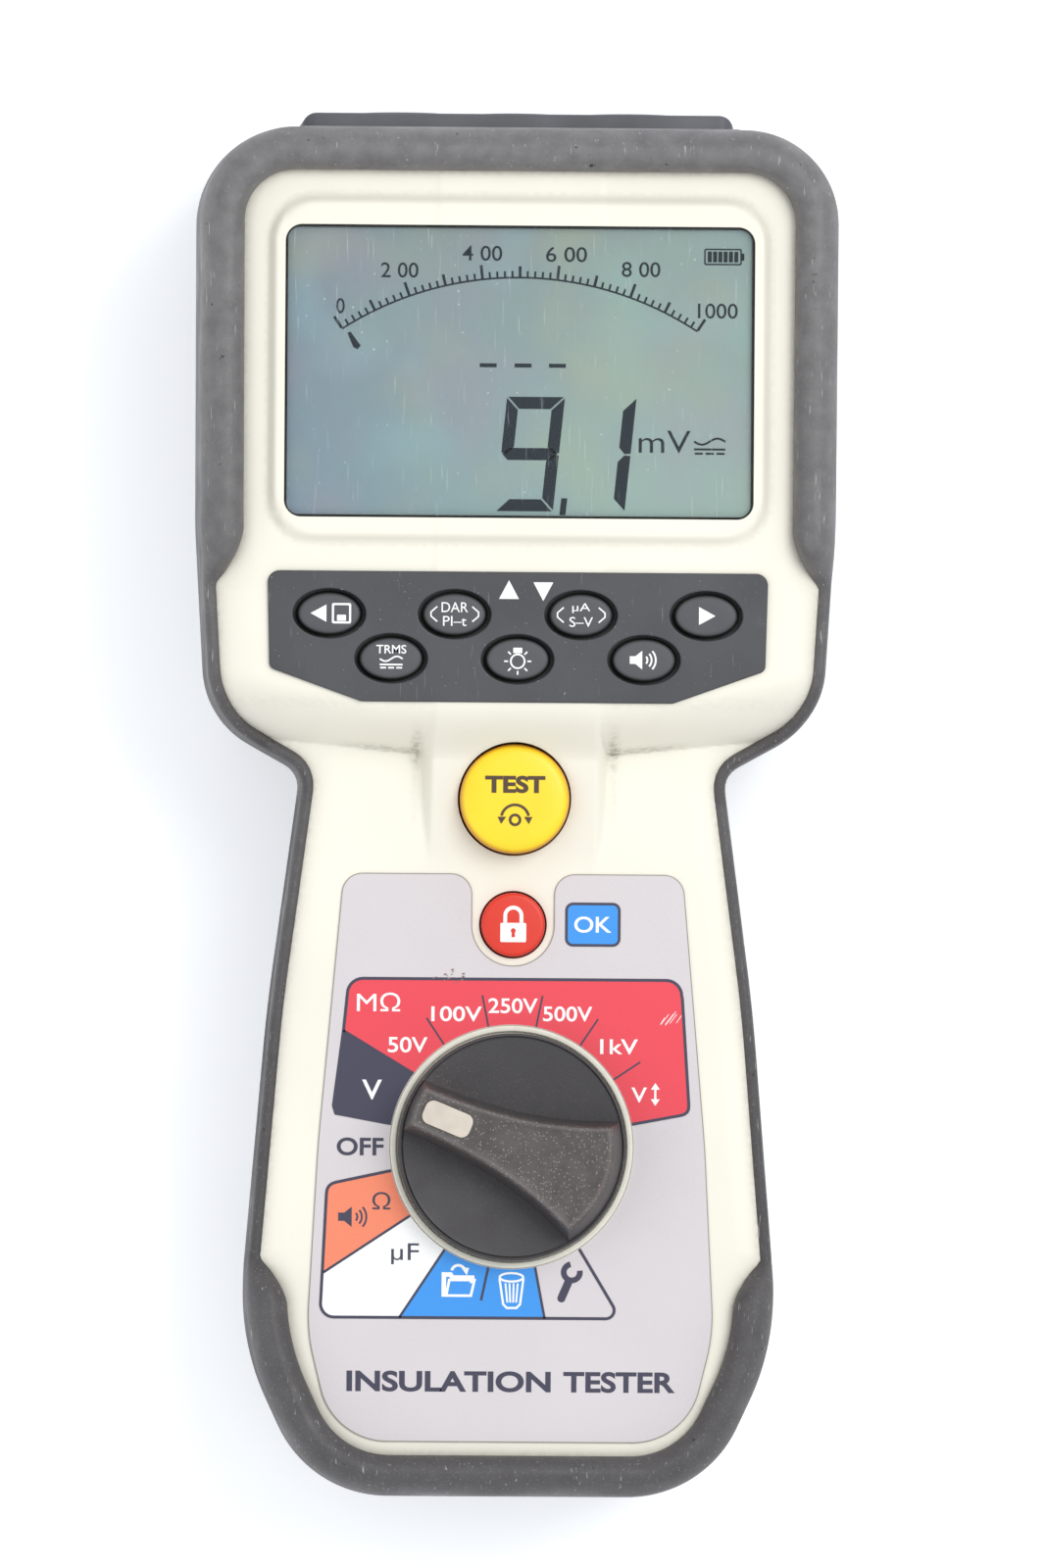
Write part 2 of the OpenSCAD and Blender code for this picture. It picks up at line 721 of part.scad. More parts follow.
module test_button() color("gold") {
    top = handle_z + platform[2] + 0.2;
    translate([0, test_y, 0]) {
        difference() {
            union() {
                post(test_r, handle_z - 4, top);
                post(test_r - 1.6, top - 1, top + 0.8);
                post(test_r + 1.4, handle_z - 4, handle_z - wall - gap);
            }
            post(7.4, handle_z - 5, roof_z);
        }
        post(2, board_top + 5.2 + test_travel + gap, roof_z + 0.1);
    }
}

module test_spring() color("silver") {
    translate([0, test_y, board_top + 5]) coil(5.2, 5.2, roof_z - 0.1 - board_top - 5, 5, 0.45);
}

module lock_button() color("red") {
    translate([0, lock_y, 0]) {
        post(lock_r, handle_z - 4, handle_z + 1.6);
        post(lock_r + 1.4, handle_z - 4, handle_z - wall - gap);
        post(2, handle_z - 6.3, handle_z - 3.9);
    }
}

module key_store() one_key(0);

module key_ratio() one_key(1);

module key_current() one_key(2);

module key_next() one_key(3);

module key_true_rms() one_key(4);

module key_backlight() one_key(5);

module key_buzzer() one_key(6);

// ---- stand and battery cover ----

module stand() color("gray") {
    difference() {
        union() {
            translate([0, (stand_y[0] + stand_y[1]) / 2 - 1, 0])
                pad([stand_w, stand_y[1] - stand_y[0] - 2, 2.8], 4, back_z + 0.2);
            for (x = [-stand_w / 2, stand_w / 2 - 9]) translate([x, stand_y[1], stand_z])
                rotate([0, 90, 0]) cylinder(r = 2.4, h = 9);
            for (x = [-stand_w / 2, stand_w / 2 - 9]) translate([x, stand_y[1] - 6, back_z + 0.2])
                cube([9, 6, 2.8]);
        }
        translate([-stand_w / 2 - 1, stand_y[1], stand_z]) rotate([0, 90, 0])
            cylinder(r = pin_r, h = stand_w + 2);
        translate([0, (stand_y[0] + stand_y[1]) / 2, 0]) pad([22, 30, 6], 3, 0);
    }
}

module stand_pin() color("silver") {
    translate([-stand_w / 2 - 2.8, stand_y[1], stand_z]) rotate([0, 90, 0])
        cylinder(r = pin_r, h = stand_w + 5.6);
}

module battery_cover() color("gray") {
    difference() {
        cover_shape(lid_z - back_z - 0.1, 0, back_z);
        translate([0, 5.6, 0]) post(1.7, 0, lid_z + 1);
        translate([0, 5.6, 0]) post(2.9, 0, back_z + 1.3);
        difference() {
            slab(inset(8.6), lid_z - 0.9, lid_z + 1);
            slab(inset(9.5), lid_z - 2, lid_z + 2);
            translate([-head_w, 0, 0]) cube([2 * head_w, case_l, 10]);
        }
    }
}

module cover_seal() color("black") {
    difference() {
        slab(inset(8.65), lid_z - 0.85, lid_z - 0.05);
        slab(inset(9.45), lid_z - 2, lid_z + 2);
        translate([-head_w, -0.05, 0]) cube([2 * head_w, case_l, 10]);
    }
}

module cover_screw() color("silver") {
    translate([0, 5.6, back_z + 0.1]) screw(2.7, 1.2, 1.45, 9);
}

front_shell();
bumper();
rear_shell();
case_seal();
case_screws();
display_lens();
lens_gasket();
lcd_glass();
lcd_holder();
backlight();
zebra_strips();
display_board();
board_header();
key_panel();
keypad_mat();
key_domes();
front_label();
main_board();
board_chips();
board_relays();
hv_transformer();
hv_capacitors();
buzzer();
detent_ring();
test_switch();
lock_switch();
terminal_block();
socket_negative();
socket_positive();
probe_socket();
socket_contacts();
fuse();
fuse_clips();
battery_cells();
battery_contacts();
battery_springs();
rear_feet();
board_screws();
range_knob();
knob_marker();
knob_clip();
switch_rotor();
wiper_contacts();
test_button();
test_spring();
lock_button();
key_store();
key_ratio();
key_current();
key_next();
key_true_rms();
key_backlight();
key_buzzer();
stand();
stand_pin();
battery_cover();
cover_seal();
cover_screw();
rating_plate();
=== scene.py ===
import json
import math

import bmesh
import bpy
import numpy as np
from bpy.props import FloatProperty, FloatVectorProperty, PointerProperty
from bpy.types import Operator, Panel, PropertyGroup
from mathutils import Matrix, Vector


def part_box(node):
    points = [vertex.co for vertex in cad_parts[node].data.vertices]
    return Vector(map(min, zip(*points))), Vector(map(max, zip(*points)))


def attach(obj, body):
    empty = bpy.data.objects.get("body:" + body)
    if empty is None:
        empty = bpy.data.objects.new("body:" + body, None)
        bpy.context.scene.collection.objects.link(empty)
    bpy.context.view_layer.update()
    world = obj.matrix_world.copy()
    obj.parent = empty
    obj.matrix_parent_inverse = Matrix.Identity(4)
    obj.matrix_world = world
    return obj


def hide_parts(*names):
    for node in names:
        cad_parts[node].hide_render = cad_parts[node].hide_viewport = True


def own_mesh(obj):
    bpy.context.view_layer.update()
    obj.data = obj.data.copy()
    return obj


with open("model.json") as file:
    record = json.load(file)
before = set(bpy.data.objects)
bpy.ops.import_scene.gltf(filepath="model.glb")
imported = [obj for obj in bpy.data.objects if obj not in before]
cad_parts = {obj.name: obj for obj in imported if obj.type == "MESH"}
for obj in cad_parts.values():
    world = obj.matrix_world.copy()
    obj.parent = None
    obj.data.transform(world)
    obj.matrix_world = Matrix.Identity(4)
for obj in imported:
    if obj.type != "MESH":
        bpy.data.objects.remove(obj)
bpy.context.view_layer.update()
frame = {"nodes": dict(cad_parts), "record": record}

bl_info = {
    "name": "Insulation tester",
    "version": (1, 0, 0),
    "blender": (4, 5, 0),
    "location": "3D View > Sidebar > Tester",
    "description": "Builds the visible pieces and finishes of a hand-held insulation resistance tester",
    "category": "Add Mesh",
}

MM = 0.001


def box_mm(node):
    """Lowest and highest corners of a CAD node, in millimetres."""
    low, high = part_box(node)
    return np.array(low) / MM, np.array(high) / MM


def middle_mm(node):
    """Middle of a CAD node's box, in millimetres."""
    return sum(box_mm(node)) / 2


# Levels and places that the CAD nodes give, in millimetres.
(_, BOTTOM_Y, RUBBER_Z), (HEAD_HALF, TOP_Y, CREST_Z) = box_mm("bumper")
HANDLE_Z, LABEL_Z = box_mm("front_label")[0][2], box_mm("front_label")[1][2]
HEAD_Z, PANEL_Z = box_mm("key_panel")[0][2], box_mm("key_panel")[1][2]
SEAM_Z = box_mm("case_seal")[1][2]
BACK_Z = box_mm("rear_shell")[0][2]
KNOB_Y = middle_mm("knob_clip")[1]
TEST_Y = middle_mm("test_button")[1]
LOCK_Y = middle_mm("lock_button")[1]
WINDOW_Y = middle_mm("display_lens")[1]
BLOCK_LOW, BLOCK_HIGH = box_mm("terminal_block")
KNOB_ANGLE = math.atan2(middle_mm("knob_marker")[1] - KNOB_Y, middle_mm("knob_marker")[0])


def to_linear(hex_colour):
    """An sRGB hex colour as three linear values."""
    c = np.array([int(hex_colour[i:i + 2], 16) for i in (1, 3, 5)]) / 255
    return tuple(np.where(c <= 0.04045, c / 12.92, ((c + 0.055) / 1.055) ** 2.4))


def length(name, description, millimetres):
    """A size property, stored in metres."""
    return FloatProperty(name=name, description=description, default=millimetres * MM, unit="LENGTH")


def paint(name, description, hex_colour):
    """A colour property with an sRGB default."""
    return FloatVectorProperty(name=name, description=description, default=to_linear(hex_colour),
                               size=3, min=0, max=1, subtype="COLOR")


class TesterSizes(PropertyGroup):
    """Sizes of the visible pieces."""
    bumper_w: length("Bumper width", "Across the rubber round the head and the handle's end", 7.5)
    rim_w: length("Rim width", "Across the thin rubber rim along the neck", 2.5)
    wall: length("Wall", "Thickness of the shells", 2.4)
    bezel_rise: length("Bezel rise", "How far the display's bezel stands up", 1.7)
    roll: length("Edge roll", "Width of the rounding along the edges of the head's face", 7.0)
    ring_r: length("Knob ring", "Outer radius of the cream ring round the knob", 20.2)
    knob_r: length("Knob radius", "Radius of the range knob's disc", 18.9)
    test_r: length("Test button radius", "Radius of the test button", 9.1)
    lock_r: length("Lock button radius", "Radius of the lock button", 5.3)
    key_x: length("Key length", "Oval keys, along X", 10.4)
    key_y: length("Key height", "Oval keys, along Y", 6.9)
    ink: length("Ink", "Thickness of the printed legends", 0.03)


class TesterColours(PropertyGroup):
    """Colours of the visible pieces."""
    cream: paint("Cream", "Front shell", "#ede9da")
    # Colour for dirt, and for painted shade in the cream's corners, creases and edges.
    grime: paint("Grime", "Dirt held in the corners", "#4c4438")
    rubber: paint("Rubber", "Bumper", "#363233")
    rubber_worn: paint("Worn rubber", "Bumper where hands and benches rub it", "#757373")
    # Paler rubber for wear and dust, and for the painted light that lightens the bumper towards the head.
    rear: paint("Rear plastic", "Rear shell, stand and battery cover", "#4a4a4c")
    panel: paint("Key panel", "Plate round the oval keys", "#434346")
    key: paint("Key rubber", "Oval keys", "#4e4e51")
    label: paint("Label", "Printed overlay's grey", "#d0c9ca")
    navy: paint("Navy ink", "Outlines and dark legends", "#3a394d")
    white: paint("White ink", "Light legends", "#f4f4f2")
    red: paint("Red ink", "Resistance ranges", "#e5424f")
    orange: paint("Orange ink", "Continuity range", "#ee8462")
    blue: paint("Blue ink", "Memory functions and the result badge", "#3592e4")
    knob: paint("Knob", "Range knob's disc", "#393638")
    grip: paint("Grip", "Range knob's grip bar", "#4a4543")
    marker: paint("Marker", "Range knob's pointer inlay", "#cdc2b4")
    test: paint("Test button", "Yellow of the test button", "#f6d524")
    # Deeper yellow painted on the test button's rounded rim and side: painted shade.
    test_rim: paint("Test button's rim", "Deeper yellow round its edge", "#d68f10")
    lock: paint("Lock button", "Red of the lock button", "#da321c")
    glass: paint("Display", "Liquid crystal's light ground", "#90a69e")
    segment: paint("Segments", "Liquid crystal's dark segments", "#1b242b")


def sizes():
    """Sizes in millimetres by name."""
    group = bpy.context.scene.tester_sizes
    return {key: getattr(group, key) / MM for key in TesterSizes.__annotations__}


def colours():
    """Linear RGB by name."""
    group = bpy.context.scene.tester_colours
    return {key: tuple(getattr(group, key)) for key in TesterColours.__annotations__}


# ---- curves and surfaces ----

def smooth(t):
    """3t² - 2t³ between 0 and 1, flat outside."""
    t = np.clip(t, 0, 1)
    return t * t * (3 - 2 * t)


def round_corners(corners, spacing=0.9):
    """Counter-clockwise loop through corners [x, y, radius].

    Each corner becomes the arc tangent to both of its sides: the arc starts radius / tan(half
    angle) along one side and its centre lies radius / sin(half angle) along the bisector.
    """
    corners = np.array(corners, float)
    spot, radius = corners[:, :2], corners[:, 2:]
    before, after = np.roll(spot, 1, 0) - spot, np.roll(spot, -1, 0) - spot
    before /= np.linalg.norm(before, axis=1, keepdims=True)
    after /= np.linalg.norm(after, axis=1, keepdims=True)
    half = np.arccos((before * after).sum(1, keepdims=True)) / 2
    start, end = spot + before * radius / np.tan(half), spot + after * radius / np.tan(half)
    bisector = (before + after) / np.linalg.norm(before + after, axis=1, keepdims=True)
    centre = spot + bisector * radius / np.sin(half)
    loop = []
    for k in range(len(corners)):
        a = start[k] - centre[k]
        b = end[k] - centre[k]
        turn = math.atan2(a[0] * b[1] - a[1] * b[0], a @ b)
        steps = max(3, round(abs(turn) * radius[k, 0] / spacing) + 1, round(abs(turn) / 0.2))
        angles = np.linspace(0, turn, steps)[:, None]
        loop.append(centre[k] + np.cos(angles) * a + np.sin(angles) * [-a[1], a[0]])
    return np.concatenate(loop)


def resample(loop, count):
    """The same closed loop with count points at even distances."""
    closed = np.vstack([loop, loop[:1]])
    run = np.concatenate([[0], np.cumsum(np.linalg.norm(np.diff(closed, axis=0), axis=1))])
    at = np.arange(count) / count * run[-1]
    return np.column_stack([np.interp(at, run, closed[:, 0]), np.interp(at, run, closed[:, 1])])


def inward(loop):
    """Unit normals that point into a counter-clockwise loop."""
    tangent = np.roll(loop, -1, 0) - np.roll(loop, 1, 0)
    tangent /= np.linalg.norm(tangent, axis=1, keepdims=True)
    return np.column_stack([-tangent[:, 1], tangent[:, 0]])


def box_loop(size, radius, centre=(0, 0)):
    """Rectangle of the given size with rounded corners."""
    x, y = size[0] / 2, size[1] / 2
    loop = round_corners([[x, -y, radius], [x, y, radius], [-x, y, radius], [-x, -y, radius]], 0.3)
    return loop + np.array(centre)


def oval_loop(radius_x, radius_y, centre=(0, 0), count=64):
    """Ellipse."""
    a = np.arange(count) * 2 * np.pi / count
    return np.column_stack([centre[0] + radius_x * np.cos(a), centre[1] + radius_y * np.sin(a)])


def arc(centre, radius, start, end, count=24):
    """Points of an arc between two angles in degrees."""
    a = np.radians(np.linspace(start, end, count))
    return np.column_stack([centre[0] + radius * np.cos(a), centre[1] + radius * np.sin(a)])


def stroke(points, width, closed=False):
    """Loops that outline a line of the given width: each point is moved sideways by half the
    width over the cosine of half the turn there."""
    points = np.array(points, float)
    ahead = np.roll(points, -1, 0) - points
    if not closed:
        ahead[-1] = ahead[-2]
    ahead /= np.linalg.norm(ahead, axis=1, keepdims=True)
    behind = np.roll(ahead, 1, 0)
    if not closed:
        behind[0] = ahead[0]
    both = ahead + behind
    both /= np.linalg.norm(both, axis=1, keepdims=True)
    side = np.column_stack([-both[:, 1], both[:, 0]])
    side *= width / 2 / np.clip((both * ahead).sum(1, keepdims=True), 0.4, 1)
    if closed:
        return [points + side, points - side]
    return [np.vstack([points + side, (points - side)[::-1]])]


def case_loop():
    """Plan outline of the case, 760 points from the tuned corners of its right half."""
    neck_half, hip = 35.3, 44.2
    right = [[hip - 11.4, BOTTOM_Y, 20], [hip, BOTTOM_Y + 24.5, 42], [hip, BOTTOM_Y + 37, 60],
             [hip - 3.7, BOTTOM_Y + 81.5, 300], [neck_half, BOTTOM_Y + 120.5, 4],
             [HEAD_HALF - 2.1, BOTTOM_Y + 129.4, 15], [HEAD_HALF - 0.2, TOP_Y - 66.5, 100],
             [HEAD_HALF, TOP_Y, 16]]
    left = [[-x, y, r] for x, y, r in right[::-1]]
    return resample(round_corners(right + left), 760)


EDGE = case_loop()
EDGE_IN = inward(EDGE)


def fullness(y):
    """1 where the bumper is full, 0 along the neck: 1 - (1 - t)^1.7, sharp at the rim."""
    t = np.clip(np.maximum((y - 36) / 9.5, (-75.6 - y) / 8.4), 0, 1)
    return 1 - (1 - t) ** 1.7


def band_width(y):
    """Width of the rubber: from the neck's rim to the full band, 0.5 mm less round the handle."""
    s = sizes()
    return s["rim_w"] + (s["bumper_w"] - 0.5 * (y < 0) - s["rim_w"]) * fullness(y)


def face_loop(inset=0.0):
    """Outline of the cream face inside the bumper."""
    return EDGE + EDGE_IN * (band_width(EDGE[:, 1]) + inset)[:, None]


def distance_to(loop, x, y):
    """Distance from each point to the nearest side of a closed loop."""
    points = np.column_stack([np.ravel(x), np.ravel(y)])
    a, side = loop, np.roll(loop, -1, 0) - loop
    square = (side * side).sum(1)
    nearest = np.empty(len(points))
    for start in range(0, len(points), 4000):
        gap = points[start:start + 4000, None] - a
        t = np.clip((gap * side).sum(2) / square, 0, 1)
        nearest[start:start + 4000] = np.linalg.norm(gap - t[..., None] * side, axis=2).min(1)
    return nearest.reshape(np.shape(x))


def inside_box(x, y, half, centre_y, radius):
    """Signed distance to a rounded rectangle, positive inside."""
    qx, qy = np.abs(x) - half[0] + radius, np.abs(y - centre_y) - half[1] + radius
    outside = np.hypot(np.maximum(qx, 0), np.maximum(qy, 0))
    return radius - outside - np.minimum(np.maximum(qx, qy), 0)


def ground(x, y):
    """Height of the front faces before their edges roll off.

    The handle rises to the head by 12 (1 - (1 - t)^1.8), steep at the foot and soft at the crest,
    with foot and crest a little higher up the case towards its sides. The test button's ramp is a
    straight slope that swings up into the head, with soft side walls, joined by a smooth maximum.
    """
    side = np.abs(x)
    foot = 8.2 + 0.10 * np.maximum(side - 16, 0)
    crest = 16.8 + 0.22 * np.maximum(side - 24, 0)
    t = np.clip((y - foot) / (crest - foot), 0, 1)
    plain = HANDLE_Z + (HEAD_Z - HANDLE_Z) * (1 - (1 - t) ** 1.8)
    slope = HANDLE_Z + 5.3 * (y + 9.5) / 19
    slope = slope + (HEAD_Z - slope) * smooth((y - 7) / 9.8)
    wall = smooth((17.0 - side) / 3.6)
    ramp = HANDLE_Z - 3 + (slope - HANDLE_Z + 3) * wall
    return (plain + ramp + np.hypot(plain - ramp, 0.45)) / 2


def roll_off(y, gap):
    """Drop of the face within a few millimetres of its edge: depth times (1 - gap/width)^2.3."""
    s, f, head = sizes(), fullness(y), smooth((y - 2) / 12)
    width = (4.6 + (s["roll"] - 4.6) * head) * (1 - f) + 2.4 * f
    depth = (1.5 + 1.1 * head) * (1 - f) + 0.5 * f
    return depth * np.clip(1 - gap / width, 0, 1) ** 2.3


def face_height(x, y, gap):
    """Height of the finished cream face: the ground, the rolled edges and the display's bezel."""
    bezel = smooth(inside_box(x, y, (42, 29.1), WINDOW_Y + 0.4, 8) / 1.7)
    return ground(x, y) - roll_off(y, gap) + sizes()["bezel_rise"] * bezel


# ---- meshes and objects ----

def grid_quads(rows, columns, close_rows=False, close_columns=False):
    """Quads of a grid of points numbered row by row, facing column direction x row direction."""
    i, j = np.meshgrid(np.arange(rows - (not close_rows)), np.arange(columns - (not close_columns)),
                       indexing="ij")
    up, on = (i + 1) % rows, (j + 1) % columns
    return np.stack([i * columns + j, i * columns + on, up * columns + on, up * columns + j],
                    -1).reshape(-1, 4)


def show(name, mesh):
    """Puts a mesh into the scene as an object at the origin."""
    piece = bpy.data.objects.new(name, mesh)
    bpy.context.scene.collection.objects.link(piece)
    return piece


def merge_doubles(mesh, reach, drop_slivers=False):
    """Merges a mesh's points that are closer than reach, in metres."""
    edit = bmesh.new()
    edit.from_mesh(mesh)
    bmesh.ops.remove_doubles(edit, verts=edit.verts, dist=reach)
    if drop_slivers:
        bmesh.ops.dissolve_degenerate(edit, edges=edit.edges, dist=reach / 2)
    edit.to_mesh(mesh)
    edit.free()


def solid(name, points, faces, weld=False):
    """Object from points in millimetres and faces; weld merges poles and repeated seams."""
    mesh = bpy.data.meshes.new(name)
    mesh.from_pydata(np.asarray(points, float) * MM, [], faces)
    if weld:
        merge_doubles(mesh, 2e-7, drop_slivers=True)
    mesh.update()
    return show(name, mesh)


def prism(name, loop, low, high):
    """Upright solid over a counter-clockwise loop."""
    n = len(loop)
    points = np.vstack([np.column_stack([loop, np.full(n, z)]) for z in (low, high)])
    faces = grid_quads(2, n, close_columns=True).tolist()
    return solid(name, points, faces + [list(range(n))[::-1], list(range(n, 2 * n))])


def lathe(name, profile, centre=(0, 0), count=96, squash=(1, 1)):
    """Round solid: the profile of (radius, height) runs from the bottom pole up the outside to
    the top pole, and each point goes round the upright axis at the centre."""
    profile = np.array(profile, float)
    a = np.arange(count) * 2 * np.pi / count
    radius, height = profile[:, :1], profile[:, 1:]
    points = np.stack([centre[0] + squash[0] * radius * np.cos(a),
                       centre[1] + squash[1] * radius * np.sin(a),
                       height + 0 * a], -1).reshape(-1, 3)
    return solid(name, points, grid_quads(len(profile), count, close_columns=True).tolist(), weld=True)


def fillet(start, corner, end, count=6):
    """Profile points of a rounded corner: the quadratic curve from start to end under corner."""
    t = np.linspace(0, 1, count)[:, None]
    start, corner, end = (np.array(p, float) for p in (start, corner, end))
    return ((1 - t) ** 2 * start + 2 * t * (1 - t) * corner + t * t * end).tolist()


def settle(piece):
    """Applies a piece's modifiers."""
    graph = bpy.context.evaluated_depsgraph_get()
    mesh = bpy.data.meshes.new_from_object(piece.evaluated_get(graph))
    piece.modifiers.clear()
    old, piece.data = piece.data, mesh
    bpy.data.meshes.remove(old)


def carve(piece, cutters, operation="DIFFERENCE"):
    """Cuts each cutter out of the piece, or joins it, and removes the cutters. The solver leaves an
    open mesh as it is without stopping, so an open one is refused here."""
    for item in [piece] + list(cutters):
        check = bmesh.new()
        check.from_mesh(item.data)
        loose = sum(not edge.is_manifold for edge in check.edges)
        check.free()
        if loose:
            raise RuntimeError("%s has %d open edges" % (item.name, loose))
    for cutter in cutters:
        modifier = piece.modifiers.new("carve", "BOOLEAN")
        modifier.object, modifier.operation, modifier.solver = cutter, operation, "MANIFOLD"
    settle(piece)
    for cutter in cutters:
        bpy.data.meshes.remove(cutter.data)
    if not piece.data.polygons:
        raise RuntimeError(piece.name + " came out empty")
    return piece


def finish_piece(piece, material, body="case", replaces=(), angle=32):
    """Smooths a piece up to an edge angle, gives it its material and fixes it to its body."""
    piece.data.shade_smooth()
    piece.data.set_sharp_from_angle(angle=math.radians(angle))
    piece.data.materials.clear()
    piece.data.materials.append(material)
    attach(piece, body)
    if replaces:
        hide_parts(*replaces)
    return piece


def flat_mesh(loops, low, high, bevel=0.0):
    """Plate over flat loops, where a loop inside another is a hole: a filled 2D curve, extruded,
    with its edges rounded by bevel."""
    curve = bpy.data.curves.new("flat", "CURVE")
    curve.dimensions, curve.fill_mode = "2D", "BOTH"
    curve.extrude = ((high - low) / 2 - bevel) * MM
    curve.bevel_depth, curve.bevel_resolution, curve.offset = bevel * MM, 3, -bevel * MM
    for loop in loops:
        spline = curve.splines.new("POLY")
        spline.points.add(len(loop) - 1)
        spots = np.zeros((len(loop), 4))
        spots[:, :2] = np.asarray(loop) * MM
        spline.points.foreach_set("co", spots.ravel())
        spline.use_cyclic_u = True
    return curve_mesh(curve, (low + high) / 2)


def curve_mesh(curve, height):
    """Mesh of a flat curve or text, raised to the given height."""
    holder = show("flat", curve)
    graph = bpy.context.evaluated_depsgraph_get()
    mesh = bpy.data.meshes.new_from_object(holder.evaluated_get(graph))
    bpy.data.objects.remove(holder)
    bpy.data.curves.remove(curve)
    mesh.transform(Matrix.Translation((0, 0, height * MM)))
    return mesh


def text_mesh(words, centre, height, width, low, high, weight=0.0, slant=0.0):
    """Words in the built-in face, scaled so that their ink is height tall and width wide."""
    curve = bpy.data.curves.new("words", "FONT")
    curve.body, curve.offset, curve.shear, curve.resolution_u = words, weight, slant, 6
    mesh = curve_mesh(curve, 0)
    spots = np.empty(len(mesh.vertices) * 3)
    mesh.vertices.foreach_get("co", spots)
    spots = spots.reshape(-1, 3)
    least, most = spots[:, :2].min(0), spots[:, :2].max(0)
    scale = np.array([width, height]) * MM / (most - least)
    move = np.array(centre) * MM - scale * (least + most) / 2
    place = Matrix(((scale[0], 0, 0, move[0]), (0, scale[1], 0, move[1]), (0, 0, 1, low * MM), (0, 0, 0, 1)))
    mesh.transform(place)
    edit = bmesh.new()
    edit.from_mesh(mesh)
    bmesh.ops.remove_doubles(edit, verts=edit.verts, dist=1e-7)
    raised = bmesh.ops.extrude_face_region(edit, geom=edit.faces[:])["geom"]
    for item in raised:
        if isinstance(item, bmesh.types.BMVert):
            item.co.z += (high - low) * MM
    bmesh.ops.recalc_face_normals(edit, faces=edit.faces)
    edit.to_mesh(mesh)
    edit.free()
    return mesh


def joined(name, meshes):
    """One object from several meshes."""
    edit = bmesh.new()
    for mesh in meshes:
        edit.from_mesh(mesh)
        bpy.data.meshes.remove(mesh)
    mesh = bpy.data.meshes.new(name)
    edit.to_mesh(mesh)
    edit.free()
    return show(name, mesh)


# ---- finishes ----

def add(tree, kind, links=None, **settings):
    """Adds a shader node: settings are its own properties, and links gives each input a value or
    another node's output."""
    node = tree.nodes.new("ShaderNode" + kind)
    for key, value in settings.items():
        setattr(node, key, value)
    for socket, value in (links or {}).items():
        if isinstance(value, bpy.types.NodeSocket):
            tree.links.new(value, node.inputs[socket])
        else:
            node.inputs[socket].default_value = value
    return node


def rgba(colour, share=1.0):
    """A colour darkened or lightened by share, with full alpha."""
    return tuple(min(1.0, c * share) for c in colour[:3]) + (1.0,)


def spots(tree, where, size_mm, low=0.35, high=0.65, detail=3.0):
    """0 to 1 blotches about size_mm across."""
    noise = add(tree, "TexNoise", {"Vector": where, "Scale": 1 / (size_mm * MM), "Detail": detail})
    return add(tree, "MapRange", {"Value": noise.outputs["Fac"], "From Min": low, "From Max": high},
               clamp=True).outputs["Result"]


def blend(tree, share, first, second):
    """Mixes two colours, each a value or another node's output."""
    return add(tree, "MixRGB", {"Fac": share, "Color1": first, "Color2": second}).outputs["Color"]


def begin(name):
    """New material with its shader, and the coordinates of its object in metres."""
    material = bpy.data.materials.new(name)
    material.use_nodes = True
    tree = material.node_tree
    tree.nodes.clear()
    shader = add(tree, "BsdfPrincipled")
    add(tree, "OutputMaterial", {"Surface": shader.outputs["BSDF"]})
    where = add(tree, "TexCoord").outputs["Object"]
    return material, tree, shader, where


def grainy(tree, shader, where, grain_mm, depth_mm, rough):
    """Fine grain: bumps grain_mm apart and depth_mm deep, and roughness between two values."""
    noise = add(tree, "TexNoise", {"Vector": where, "Scale": 1 / (grain_mm * MM), "Detail": 4.0})
    bump = add(tree, "Bump", {"Height": noise.outputs["Fac"], "Distance": depth_mm * MM, "Strength": 1.0})
    tree.links.new(bump.outputs["Normal"], shader.inputs["Normal"])
    broad = add(tree, "TexNoise", {"Vector": where, "Scale": 1 / (9 * MM), "Detail": 5.0})
    tone = add(tree, "MapRange", {"Value": broad.outputs["Fac"], "From Min": 0.3, "From Max": 0.7,
                                  "To Min": rough[0], "To Max": rough[1]})
    tree.links.new(tone.outputs["Result"], shader.inputs["Roughness"])
    return noise.outputs["Fac"]


def plastic(name, colour, rough=(0.4, 0.55), grain_mm=0.5, depth_mm=0.012, vary=0.1, metallic=0.0,
            blotch_mm=12.0):
    """Plain moulded or plated finish: a colour that drifts a little over blotches, with grain."""
    material, tree, shader, where = begin(name)
    tone = blend(tree, spots(tree, where, blotch_mm), rgba(colour, 1 - vary), rgba(colour, 1 + vary))
    tree.links.new(tone, shader.inputs["Base Color"])
    shader.inputs["Metallic"].default_value = metallic
    grainy(tree, shader, where, grain_mm, depth_mm, rough)
    return material


